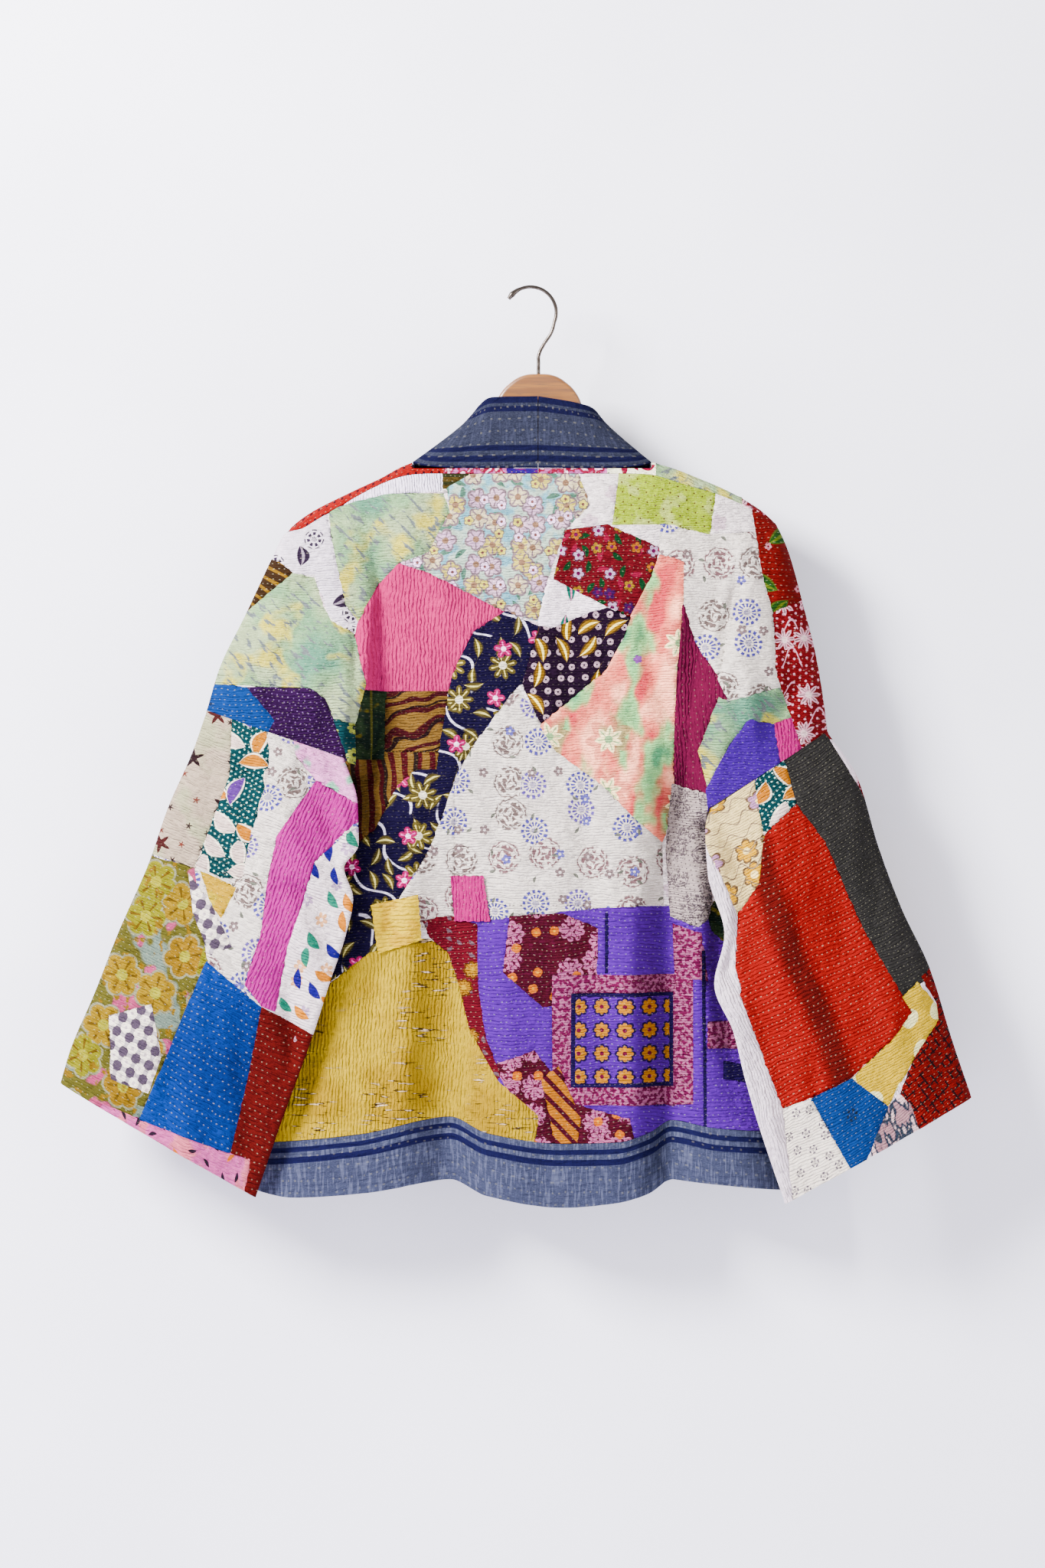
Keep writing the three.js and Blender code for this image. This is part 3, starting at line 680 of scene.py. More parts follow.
def tendrils():  # wandering lines, evenly spaced
    tree, given, out = newGroup("stems", [
        ("Vector", "v", None), ("Spacing", "f", 0.03), ("Swing", "f", 0.006), ("Wave", "f", 0.05),
        ("Width", "f", 0.0012)], [("Line", "f")])
    x, y, _ = split(tree, given["Vector"])
    phase = times(tree, per(tree, x, given["Wave"]), fullTurn)
    roam = sway(tree, given["Vector"], 25, times(tree, given["Swing"], 2))
    moved = plus(tree, plus(tree, y, times(tree, calc(tree, "SINE", phase), given["Swing"])), roam)
    away = times(tree, fromMiddle(tree, per(tree, moved, given["Spacing"])), given["Spacing"])
    fill(tree, out, {"Line": soften(tree, per(tree, away, given["Width"]), 0.65, 0.4)})
    return tree


shared = {
    "running stitch": runningStitch(), "cotton weave": cottonWeave(), "worn dye": wornDye(),
    "scatter": scatter(), "flower": bloom(), "leaf": leaf(), "dotted rosette": dottedRosette(),
    "dot grid": dotGrid(), "stems": tendrils(),
}


# print layers: each lays one kind of motif over the colour below it

def use(tree, name, values):
    return fill(tree, put(tree, "Group", node_tree=shared[name]), values).outputs


def pickColour(tree, value, colours):  # one of a few colours, by a number from 0 to 1
    if len(colours) == 1:
        return dye(*colours[0])
    ramp = put(tree, "ValToRGB")
    ramp.color_ramp.interpolation = "CONSTANT"
    stops = ramp.color_ramp.elements
    stops[1].position = 1 / len(colours)
    for k, colour in enumerate(colours):
        stop = stops[k] if k < 2 else stops.new(k / len(colours))
        stop.color = dye(*colour)
    feed(tree, ramp.inputs[0], value)
    return ramp.outputs[0]


def strewn(tree, vector, spacing, loose=0.6, turn=6.28, seed=0, share=1, above=-1, strength=1):
    field = use(tree, "scatter", {
        "Vector": vector, "Spacing": spacing * mm, "Loose": loose, "Turn": turn, "Seed": seed})
    some = calc(tree, "LESS_THAN", field["Pick"], share)
    here = times(tree, some, calc(tree, "GREATER_THAN", field["Pick"], above))
    return field["Local"], field["Other"], lambda mask: times(tree, times(tree, mask, here), strength)


def printLayer(paint):  # a layer's settings are given in the table of cloths, and it is painted later
    return lambda **settings: lambda tree, vector, colour: paint(tree, vector, colour, **settings)


@printLayer
def flowers(tree, vector, colour, radius, colours, petals=5, notch=0.35, point=0, vein=None, edge=None,
            heart=None, **field):
    local, pick, shown = strewn(tree, vector, **field)
    parts = use(tree, "flower", {
        "Local": local, "Radius": radius * mm, "Petals": petals, "Notch": notch, "Point": point})
    colour = lay(tree, shown(parts["Petals"]), colour, pickColour(tree, pick, colours))
    for part, tone in (("Vein", vein), ("Edge", edge), ("Heart", heart)):
        if tone:
            colour = lay(tree, shown(parts[part]), colour, dye(*tone))
    return colour


@printLayer
def leaves(tree, vector, colour, length, width, colours, rib=None, rim=None, **field):
    local, pick, shown = strewn(tree, vector, **field)
    parts = use(tree, "leaf", {"Local": local, "Length": length * mm, "Width": width * mm})
    colour = lay(tree, shown(parts["Leaf"]), colour, pickColour(tree, pick, colours))
    for part, tone in (("Rib", rib), ("Rim", rim)):
        if tone:
            colour = lay(tree, shown(parts[part]), colour, dye(*tone))
    return colour


@printLayer
def rosettes(tree, vector, colour, radius, colours, spokes=12, rings=3, wander=0.15, **field):
    local, pick, shown = strewn(tree, vector, **field)
    ink = use(tree, "dotted rosette", {
        "Local": local, "Radius": radius * mm, "Spokes": spokes, "Rings": rings, "Wander": wander})["Ink"]
    return lay(tree, shown(ink), colour, pickColour(tree, pick, colours))


@printLayer
def dots(tree, vector, colour, spacing, radius, ink, angle=0):
    turned = turn(tree, vector, angle)
    mask = use(tree, "dot grid", {"Vector": turned, "Spacing": spacing * mm, "Radius": radius * mm})["Dots"]
    return lay(tree, mask, colour, dye(*ink))


@printLayer
def stems(tree, vector, colour, spacing, swing, wave, width, ink, angle=0, broken=None):
    turned = turn(tree, vector, angle)
    mask = use(tree, "stems", {
        "Vector": turned, "Spacing": spacing * mm, "Swing": swing * mm, "Wave": wave * mm,
        "Width": width * mm})["Line"]
    if broken:
        mask = times(tree, mask, soften(tree, grain(tree, vector, 1000 / broken, 1), 0.45, 0.5))
    return lay(tree, mask, colour, dye(*ink))


@printLayer
def wash(tree, vector, colour, size, colours, sharp=0.1, level=0.5, seed=0, angle=0, long=1, detail=2):
    between = 0.12  # soft clouds of dye, each colour this much further in
    moved = vectorCalc(tree, "ADD", vector, (seed, seed, 0))
    cloud = grain(tree, stretch(tree, turn(tree, moved, angle), (1, long, 1)), 1000 / size, detail)
    for k, tone in enumerate(colours):
        at = level + (k - (len(colours) - 1) / 2) * between
        colour = lay(tree, soften(tree, cloud, at - sharp / 2, at + sharp / 2), colour, dye(*tone))
    return colour


@printLayer  # stripes, plain or broken up
def bars(tree, vector, colour, spacing, width, ink, bend=0, angle=0, start=0, soft=0.12, broken=None):
    _, y, _ = split(tree, turn(tree, vector, angle))
    bent = plus(tree, y, sway(tree, vector, 30, bend * mm))
    off = fromMiddle(tree, per(tree, plus(tree, bent, start * mm), spacing * mm))
    half = width / spacing / 2
    mask = soften(tree, off, half * (1 + soft), half * (1 - soft))
    if broken:
        mask = times(tree, mask, soften(tree, grain(tree, vector, 1000 / broken, 3), 0.44, 0.52))
    return lay(tree, mask, colour, dye(*ink))


@printLayer
def lines(tree, vector, colour, ink, bands):  # single bands at set heights, from and to
    _, y, _ = split(tree, vector)
    y = plus(tree, y, sway(tree, vector, 35, 0.0011, 2))
    for low, high in bands:
        mask = times(tree, soften(tree, y, (low - 0.3) * mm, (low + 0.3) * mm),
                     soften(tree, y, (high + 0.3) * mm, (high - 0.3) * mm))
        colour = lay(tree, mask, colour, dye(*ink))
    return colour


@printLayer
def tiles(tree, vector, colour, spacing, ink):  # small squares in rows
    x, y, _ = split(tree, vector)
    offX, offY = [fromMiddle(tree, per(tree, value, spacing * mm)) for value in (x, y)]
    return lay(tree, soften(tree, calc(tree, "MAXIMUM", offX, offY), 0.34, 0.31), colour, dye(*ink))


@printLayer
def slits(tree, vector, colour, colours):  # worn threads: short level marks where the top cloth has gone
    marks = grain(tree, stretch(tree, vector, (55, 420, 1)), 1, 2)
    where = soften(tree, grain(tree, vector, 14, 2), 0.5, 0.6)
    for k, tone in enumerate(colours):
        level = 0.57 + 0.07 * k
        mask = times(tree, soften(tree, marks, level, level + 0.03), where)
        colour = lay(tree, mask, colour, dye(*tone))
    return colour


threadWhite = (240, 236, 228)


def clothMaterial(name, ground, layers=(), rows=0, rowGap=4.8, pitch=4.6, threadShow=0.1, thread=threadWhite,
                  fade=0.3, slub=0.3, ripple=2):
    material, tree, shader = newMaterial(name)
    vector = put(tree, "UVMap", uv_map="cloth").outputs[0]
    colour = dye(*ground)
    for layer in layers:
        colour = layer(tree, vector, colour)
    seed = sum(ord(letter) for letter in name) % 19
    worn = {"Colour": colour, "Vector": vector, "Fade": fade, "Seed": seed * 0.37}
    colour = use(tree, "worn dye", worn)["Colour"]
    weave = use(tree, "cotton weave", {"Vector": vector, "Slub": slub})
    tone = joined(tree, weave["Tone"], weave["Tone"], weave["Tone"])
    toned = put(tree, "Mix", data_type="RGBA", blend_type="MULTIPLY")
    fill(tree, toned, {0: 1, 6: colour, 7: tone})
    sewn = use(tree, "running stitch", {
        "Vector": vector, "Angle": rows + 0.05 * math.sin(seed), "Row Gap": rowGap * mm, "Pitch": pitch * mm,
        "Seed": seed * 0.21})
    stitched = lay(tree, times(tree, sewn["Thread"], threadShow), toned.outputs[2], dye(*thread))
    fill(tree, shader, {"Base Color": stitched, "Specular IOR Level": 0.02,
                        "Roughness": plus(tree, 0.8, times(tree, weave["Relief"], 0.18))})
    height = plus(tree, sewn["Relief"], times(tree, weave["Relief"], 0.16))
    bumped(tree, shader, height, 1, ripple * mm)
    return material


looks = {
    "whiteStrip": {"ground": (226, 223, 229), "rows": upright},
    "oliveBit": {"ground": (110, 85, 40), "layers": [
        bars(spacing=7, width=3, ink=(60, 60, 30))]},
    "greenWash": {"ground": (196, 201, 178), "layers": [
        wash(size=60, colours=[(176, 194, 164), (140, 176, 156)], sharp=0.2, level=0.54),
        wash(size=34, colours=[(214, 204, 148)], sharp=0.12, level=0.58, seed=3),
        wash(size=14, colours=[(150, 156, 156)], sharp=0.08, level=0.6, seed=7, angle=0.8, long=3)]},
    "pastelBlossom": {"ground": (170, 200, 208), "layers": [
        wash(size=18, colours=[(205, 212, 205)], sharp=0.15),
        leaves(spacing=17, length=7, width=2.4, colours=[(124, 156, 140)], share=0.7, seed=5),
        flowers(spacing=20, radius=10.5, notch=0.3,
            colours=[(222, 208, 216), (218, 206, 160), (216, 200, 212), (220, 212, 196)],
            edge=(168, 150, 156), heart=(180, 148, 126), vein=(170, 150, 160)),
        flowers(spacing=15, radius=5, notch=0.3, share=0.35, seed=9,
            colours=[(232, 222, 232), (222, 212, 160)], edge=(150, 132, 140), heart=(160, 114, 110))]},
    "paleWhite": {"ground": (228, 224, 224), "layers": [
        flowers(spacing=24, radius=8, colours=[(214, 196, 206)], share=0.5, strength=0.6)]},
    "limeDot": {"ground": (190, 196, 116), "rowGap": 4.6, "layers": [
        wash(size=26, colours=[(204, 206, 156)], level=0.56),
        dots(spacing=8, radius=0.8, ink=(120, 80, 60), angle=0.4)]},
    "redPosy": {"ground": (144, 2, 42), "layers": [
        leaves(spacing=15, length=6, width=2.6, colours=[(16, 84, 40), (186, 20, 84)], seed=2),
        flowers(spacing=17.5, radius=6.2, notch=0.5, share=0.9,
            colours=[(198, 132, 20), (80, 18, 112), (206, 190, 206), (188, 148, 30)], edge=(104, 6, 44),
            heart=(140, 24, 100))]},
    "tulip": {"ground": (232, 228, 230), "layers": [
        leaves(spacing=26, length=11, width=4, colours=[(60, 150, 130), (215, 60, 130)],
            rib=(245, 190, 215))]},
    "coralPink": {"ground": (222, 116, 150), "rows": upright, "rowGap": 6.4, "threadShow": 0.03,
        "thread": (240, 170, 196)},
    "greenBrocade": {"ground": (28, 46, 36), "threadShow": 0.03, "layers": [
        wash(size=16, colours=[(52, 72, 44)], level=0.53, sharp=0.08),
        wash(size=24, colours=[(140, 122, 54)], level=0.6, sharp=0.05, seed=4),
        bars(spacing=40, width=2, ink=(120, 112, 52), angle=upright, start=6)]},
    "batik": {"ground": (158, 120, 70), "threadShow": 0.03, "layers": [
        bars(spacing=13, width=5.6, bend=34, ink=(84, 20, 28), angle=-0.22),
        bars(spacing=19, width=2.2, bend=30, ink=(40, 20, 22), angle=-0.3, start=5),
        dots(spacing=4.6, radius=0.5, ink=(122, 88, 50), angle=0.5)]},
    "batikLower": {"ground": (154, 116, 66), "threadShow": 0.03, "layers": [
        bars(spacing=11.5, width=5.4, bend=9, ink=(94, 18, 28), angle=1.5),
        bars(spacing=29, width=3.6, bend=9, ink=(44, 28, 24), angle=1.5, start=4),
        dots(spacing=4.6, radius=0.5, ink=(122, 88, 50), angle=0.5)]},
    "navyVine": {"ground": (20, 12, 66), "threadShow": 0.03, "layers": [
        stems(spacing=31, swing=8, wave=62, width=2.2, ink=(222, 220, 226), angle=0.9, broken=26),
        leaves(spacing=19, length=8.8, width=4.3, loose=0.8, share=0.85,
            colours=[(134, 116, 62), (118, 100, 54)], rib=(220, 212, 176), rim=(62, 50, 44), seed=4),
        flowers(spacing=37, radius=13, petals=8, notch=0.6, share=0.72, seed=1,
            colours=[(140, 122, 66), (124, 106, 56)], vein=(224, 214, 178), heart=(226, 222, 214)),
        flowers(spacing=41, radius=8.5, notch=0.55, share=0.7, seed=6, colours=[(216, 48, 136)],
            vein=(240, 180, 212), heart=(236, 226, 232))]},
    "ringLeaf": {"ground": (38, 14, 46), "threadShow": 0.03, "layers": [
        flowers(spacing=11.5, radius=3, petals=4, notch=0.06, colours=[(206, 190, 196)], loose=0.25,
            heart=(38, 14, 46)),
        leaves(spacing=24, length=12, width=5.2, colours=[(180, 138, 34), (160, 118, 30)],
            rib=(238, 230, 200), rim=(100, 66, 30), seed=3, share=0.85)]},
    "coralMint": {"ground": (244, 214, 200), "layers": [
        wash(size=30, colours=[(240, 180, 164), (234, 138, 132)], sharp=0.12, level=0.52, angle=0.2,
            long=0.45),
        wash(size=26, colours=[(190, 212, 176), (140, 186, 150)], sharp=0.12, level=0.6, angle=0.1,
            long=0.5, seed=4),
        flowers(spacing=58, radius=22, petals=7, notch=0.4, point=0.4, share=0.7, seed=3,
            colours=[(226, 138, 128)], strength=0.5),
        flowers(spacing=58, radius=13, petals=7, notch=0.5, point=0.5, share=0.7, seed=3,
            colours=[(238, 232, 216)], heart=(140, 190, 152), vein=(140, 190, 152), strength=0.8),
        flowers(spacing=47, radius=4, share=0.3, seed=8, colours=[(176, 130, 196)])]},
    "magenta": {"ground": (138, 0, 76), "rows": upright, "threadShow": 0.03, "rowGap": 6},
    "rosettes": {"ground": (224, 220, 217), "threadShow": 0.03, "layers": [
        rosettes(spacing=38, radius=12.5, spokes=14, rings=2.5, loose=0.55, share=0.5, wander=0.25,
            colours=[(112, 120, 192), (138, 132, 198)]),
        rosettes(spacing=38, radius=15, spokes=0, rings=3.4, loose=0.55, above=0.5, wander=0.6,
            colours=[(154, 136, 132), (166, 134, 136)]),
        flowers(spacing=23, radius=4.6, notch=0.5, seed=8, share=0.4,
            colours=[(168, 150, 150), (142, 148, 206)], heart=(224, 220, 219)),
        leaves(spacing=19, length=3.4, width=1.4, seed=12, share=0.35, colours=[(150, 150, 140)])]},
    "greyPaisley": {"ground": (200, 190, 188), "layers": [
        rosettes(spacing=19, radius=10, spokes=0, rings=4, wander=0.9, colours=[(140, 126, 130)], seed=2),
        dots(spacing=4, radius=0.6, ink=(112, 98, 104), angle=0.3)]},
    "yellowWorn": {"ground": (210, 184, 0), "rows": upright, "rowGap": 6.4, "threadShow": 0.03,
        "thread": (214, 184, 60), "fade": 0.12, "layers": [
        wash(size=70, colours=[(196, 164, 0)], level=0.54, sharp=0.2),
        slits(colours=[(88, 60, 26), (226, 214, 200)])]},
    "crimson": {"ground": (140, 0, 46), "layers": [
        leaves(spacing=11, length=3.4, width=1.8, colours=[(140, 112, 122)], share=0.4),
        flowers(spacing=31, radius=8.5, petals=8, notch=0.25, share=0.8, colours=[(196, 150, 20)],
            edge=(120, 60, 20), vein=(150, 90, 20), heart=(210, 174, 50))]},
    "lavender": {"ground": (118, 86, 190), "rowGap": 6.2, "threadShow": 0.076},
    "plumSpeckle": {"ground": (196, 140, 166), "threadShow": 0.064, "layers": [
        wash(size=3.6, colours=[(142, 48, 92)], level=0.49, sharp=0.05, detail=3)]},
    "navyBlock": {"ground": (32, 26, 98), "threadShow": 0.051},
    "orangeBlock": {"ground": (208, 146, 16), "layers": [
        bars(spacing=11, width=4, angle=0.8, ink=(104, 14, 44))]},
    "lavenderBloom": {"ground": (118, 86, 190), "layers": [
        flowers(spacing=21, radius=9, petals=8, notch=0.25, loose=0, turn=0, colours=[(34, 28, 96)]),
        flowers(spacing=21, radius=7, petals=8, notch=0.3, loose=0, turn=0, colours=[(208, 154, 20)],
            heart=(140, 30, 70))]},
    "maroonBloom": {"ground": (100, 8, 40), "layers": [
        flowers(spacing=27, radius=12, petals=9, notch=0.25, share=0.7, colours=[(206, 150, 176)],
            vein=(150, 50, 96)),
        wash(size=3.6, colours=[(112, 20, 56)], level=0.56, sharp=0.05, detail=3),
        flowers(spacing=19, radius=4.4, petals=4, notch=0.15, share=0.5, seed=7, colours=[(222, 146, 24)],
            heart=(226, 184, 60))]},
    "redWrap": {"ground": (196, 26, 30), "layers": [
        dots(spacing=7, radius=1.1, ink=(70, 10, 30))]},
    "pinkMottle": {"ground": (214, 160, 196), "layers": [
        wash(size=9, colours=[(190, 60, 90), (240, 226, 232)], level=0.52, sharp=0.08)]},
    "bluePurple": {"ground": (66, 60, 170), "layers": [
        wash(size=9, colours=[(150, 60, 140)], level=0.55, sharp=0.08)]},
    "whiteGreen": {"ground": (232, 230, 222), "layers": [
        leaves(spacing=15, length=7, width=3, colours=[(70, 120, 60), (190, 70, 90)])]},
    "whiteMotif": {"ground": (222, 218, 222), "layers": [
        leaves(spacing=44, length=9, width=6, colours=[(58, 44, 70)], rib=(190, 180, 190)),
        rosettes(spacing=34, radius=9, spokes=7, rings=2.2, colours=[(70, 60, 84)], share=0.5, seed=4)]},
    "brownBit": {"ground": (72, 44, 24), "layers": [
        bars(spacing=9, width=2.6, ink=(170, 130, 60), bend=9, angle=0.5)]},
    "blueBit": {"ground": (8, 96, 168), "layers": [
        rosettes(spacing=27, radius=7, spokes=6, rings=2, colours=[(40, 62, 92)], share=0.4)]},
    "purpleDots": {"ground": (56, 12, 82), "threadShow": 0.06, "layers": [
        dots(spacing=5.2, radius=0.62, ink=(150, 128, 172), angle=0.2)]},
    "tealBrocade": {"ground": (28, 88, 96), "layers": [
        flowers(spacing=17, radius=6, petals=8, colours=[(190, 190, 130)], heart=(30, 60, 60))]},
    "starBeige": {"ground": (201, 188, 176), "threadShow": 0.04, "layers": [
        wash(size=40, colours=[(196, 192, 172)], level=0.55, sharp=0.15),
        flowers(spacing=36, radius=10, notch=0.66, point=1, share=0.75, seed=5,
            colours=[(52, 30, 34), (96, 40, 38)]),
        flowers(spacing=19, radius=3.6, notch=0.66, point=1, share=0.5, seed=2,
            colours=[(70, 50, 50), (150, 80, 66)])]},
    "tealPetal": {"ground": (18, 84, 92), "layers": [
        dots(spacing=4.6, radius=0.85, ink=(206, 220, 214), angle=0.3),
        leaves(spacing=24, length=13.5, width=7.2, loose=0.5, turn=3.1,
            colours=[(222, 212, 208), (216, 158, 84), (222, 212, 208), (130, 100, 178)],
            rim=(232, 228, 222), seed=1)]},
    "lilacGreen": {"ground": (226, 190, 214), "layers": [
        wash(size=24, colours=[(178, 206, 190)], level=0.6, sharp=0.08)]},
    "orchid": {"ground": (208, 84, 170), "rows": upright, "rowGap": 6.6, "threadShow": 0.06},
    "smallMotif": {"ground": (226, 221, 222), "threadShow": 0.03, "layers": [
        flowers(spacing=18, radius=6, petals=6, notch=0.6, share=0.5, seed=3,
            colours=[(226, 180, 116), (192, 172, 200)], heart=(226, 221, 222), strength=0.8),
        leaves(spacing=18, length=9, width=3.6, share=0.6, turn=1.2,
            colours=[(46, 66, 168), (96, 164, 142), (224, 166, 84), (96, 164, 142)])]},
    "yellowFloral": {"ground": (126, 116, 56), "layers": [
        wash(size=50, colours=[(148, 160, 150)], level=0.56, sharp=0.03),
        wash(size=44, colours=[(204, 122, 148)], level=0.6, sharp=0.03, seed=5),
        flowers(spacing=43, radius=20.5, petals=6, notch=0.22, colours=[(172, 168, 146)]),
        flowers(spacing=43, radius=18.5, petals=6, notch=0.26,
            colours=[(182, 150, 6), (166, 156, 64), (176, 138, 4)], vein=(136, 100, 8),
            heart=(188, 178, 104)),
        wash(size=9, colours=[(164, 128, 20)], level=0.62, sharp=0.08, seed=9)]},
    "sunTriangle": {"ground": (212, 180, 20), "layers": [
        wash(size=15, colours=[(210, 188, 84)], level=0.58)]},
    "greyTile": {"ground": (204, 198, 200), "threadShow": 0.03, "layers": [
        tiles(spacing=13, ink=(112, 98, 118)),
        flowers(spacing=13, radius=5, petals=6, notch=0.15, loose=0, colours=[(228, 224, 220)],
            heart=(210, 202, 204))]},
    "bigBlue": {"ground": (4, 100, 182), "rowGap": 6.4, "layers": [
        wash(size=110, colours=[(2, 80, 160)], level=0.52, sharp=0.3)]},
    "darkRed": {"ground": (124, 6, 4), "rowGap": 6.4, "threadShow": 0.08},
    "pinkCuff": {"ground": (218, 150, 186), "threadShow": 0.04, "layers": [
        wash(size=20, colours=[(226, 164, 172)], level=0.54),
        leaves(spacing=15, length=4.4, width=1.6, colours=[(60, 40, 62), (222, 150, 96)], share=0.7)]},
    "redGreenPaisley": {"ground": (158, 6, 36), "layers": [
        leaves(spacing=30, length=13, width=7, colours=[(52, 104, 36)], rim=(120, 132, 60),
            rib=(140, 150, 70), share=0.75),
        flowers(spacing=14, radius=3.4, colours=[(214, 170, 176)], share=0.4, heart=(158, 16, 46),
            seed=3)]},
    "crimsonPaisley": {"ground": (164, 4, 44), "layers": [
        dots(spacing=6.2, radius=1.1, ink=(226, 196, 204), angle=0.5),
        stems(spacing=27, swing=8, wave=24, width=2, ink=(226, 196, 204), broken=22),
        flowers(spacing=27, radius=11, petals=8, notch=0.72, point=0.3, share=0.7,
            colours=[(226, 200, 206)], vein=(150, 130, 132), heart=(226, 214, 214))]},
    "violet": {"ground": (100, 70, 188), "threadShow": 0.064},
    "charcoal": {"ground": (66, 63, 61), "rowGap": 4.6, "pitch": 3.6, "threadShow": 0.07},
    "creamEmbroidery": {"ground": (226, 214, 188), "layers": [
        flowers(spacing=28, radius=12, petals=6, notch=0.4, share=0.75,
            colours=[(224, 188, 84), (206, 178, 200)], edge=(150, 120, 90), heart=(236, 226, 200)),
        stems(spacing=15, swing=4, wave=22, width=1.3, ink=(180, 160, 140))]},
    "redPlain": {"ground": (196, 10, 2), "rowGap": 6.2, "layers": [
        bars(spacing=1000, width=25, angle=upright, start=392, soft=0.6, ink=(132, 14, 6))]},
    "yellowOval": {"ground": (218, 192, 40), "layers": [
        flowers(spacing=25, radius=9, petals=4, notch=0.08, share=0.8, colours=[(226, 222, 200)])]},
    "redCheck": {"ground": (164, 12, 16), "layers": [
        bars(spacing=7, width=1.7, ink=(56, 8, 20), angle=0.3, broken=7),
        bars(spacing=7, width=1.7, ink=(44, 10, 22), angle=1.87, broken=7)]},
    "mottled": {"ground": (196, 166, 170), "layers": [
        wash(size=7, colours=[(70, 84, 104), (222, 208, 208)], level=0.52, sharp=0.06, long=0.4)]},
    "smallPrint": {"ground": (228, 224, 220), "layers": [
        rosettes(spacing=15, radius=4, spokes=5, rings=1.5, colours=[(150, 140, 150)])]},
    "plainWhite": {"ground": (224, 219, 222), "rows": upright, "threadShow": 0.038},
    "softYellow": {"ground": (226, 202, 16), "threadShow": 0.03, "rowGap": 7, "layers": [
        wash(size=20, colours=[(220, 190, 16)], level=0.55)]},
    "brightPink": {"ground": (216, 84, 154), "threadShow": 0.06, "rowGap": 6, "rows": upright},
    "handloom": {"ground": (48, 55, 78), "slub": 0.9, "rowGap": 11, "pitch": 7, "threadShow": 0.03,
        "fade": 0.25, "ripple": 0.9, "layers": [
        wash(size=2.2, colours=[(86, 93, 116)], level=0.56, long=9),
        wash(size=2.2, colours=[(74, 81, 106)], level=0.58, long=0.11, seed=2),
        lines(ink=(16, 28, 72), bands=[(-1, 1.5), (5.5, 11.5), (16, 21), (52, 57), (60, 66)])]},
    "hemLoom": {"ground": (78, 88, 118), "slub": 0.9, "rowGap": 11, "pitch": 7, "threadShow": 0.03,
        "fade": 0.25, "ripple": 0.9, "layers": [
        wash(size=2.2, colours=[(118, 126, 152)], level=0.56, long=0.11),
        wash(size=2.2, colours=[(108, 116, 144)], level=0.57, long=9, seed=2),
        lines(ink=(18, 34, 88), bands=[(6, 10.5), (15, 20.5)])]},
    "reverse": {"ground": (205, 176, 178), "rowGap": 5.8, "layers": [
        wash(size=80, colours=[(188, 150, 170)], sharp=0.2),
        flowers(spacing=36, radius=9, petals=6, share=0.6, strength=0.5,
            colours=[(150, 90, 120), (226, 200, 180)], heart=(230, 210, 200))]},
}


def borderPoints(flat, faces, which):  # points on a line between two patches
    low = np.full(len(flat), 9999)
    high = np.full(len(flat), -1)
    np.minimum.at(low, faces.ravel(), np.repeat(which, 3))
    np.maximum.at(high, faces.ravel(), np.repeat(which, 3))
    return low < high


def fromEdge(outline, x, z):  # distance to the nearest edge of a panel
    nearest = np.full(len(x), 1e9)
    for k in range(len(outline)):
        x1, z1 = outline[k - 1]
        x2, z2 = outline[k]
        dx, dz = x2 - x1, z2 - z1
        t = clamp01(((x - x1) * dx + (z - z1) * dz) / max(dx * dx + dz * dz, 1e-9))
        nearest = np.minimum(nearest, np.hypot(x - x1 - t * dx, z - z1 - t * dz))
    return nearest


def span(start, end, step):
    return np.linspace(start, end, max(2, int(abs(end - start) / step) + 1))


def line(xs, zs):
    return [(float(a), float(b)) for a, b in zip(xs, zs)]


# where each edge of the back starts and ends, and how closely points stand along cut edges
backCut = {
    "shoulders": (-224, 220), "rightArm": (-216, -403), "rightSide": (-472, -765), "hem": (221, -242),
    "leftSide": (-774, -427), "leftArm": (-384, -226),
}
pointGap = {"across": 4, "down": 6, "back": 3.2, "front": 5, "sleeve": 3.5, "sleevePatch": 9}


def backOutline():
    def down(edge, rows):
        zs = span(*backCut[edge], pointGap["down"])
        return line(along(rows, zs), zs)

    left, right = sides["left"], sides["right"]
    xs = span(*backCut["shoulders"], pointGap["across"])
    loop = line(xs, shoulderAt(xs) - along(wrapWidth, xs))
    loop += down("rightArm", right["outline"]) + down("rightSide", right["sideSeam"])
    xs = span(*backCut["hem"], pointGap["across"])
    loop += line(xs, along(hemTop, xs))
    return loop + down("leftSide", left["sideSeam"]) + down("leftArm", left["outline"])


backEdge = backOutline()


def placeBack(x, z, seed=1, sink=0, lift=0):
    soft = smooth(fromEdge(backEdge, x, z) / drape["flatRim"])
    y = backY(x, z) + soft * (creased(x, z, backCreases) + puckered(x, z, seed))
    return np.stack([x, y + drape["patchSeam"] * sink - lift, z], axis=1)


def makeBack():
    flat, faces, which = cutPanel(backEdge, backPatches, pointGap["back"])
    sink = borderPoints(flat, faces, which)
    return makeCloth("backPanel", flat, faces, which, backPatches,
                     lambda p: placeBack(p[:, 0], p[:, 1], sink=sink), lambda p: p)


# small gaps beside a front, in millimetres, and how its edges are set out
frontCut = {
    "centre": 0.3, "back": 0.4, "band": 1, "shoulder": 0.2, "neck": 0.5,
    "neckTop": -159.2, "underSteps": 20, "foldOver": 2.5,
}


def bandSeam(side, z):  # where a front meets its neckband
    return side["sign"] * (along([(row[2], row[0]) for row in bandFront], z) + frontCut["band"])


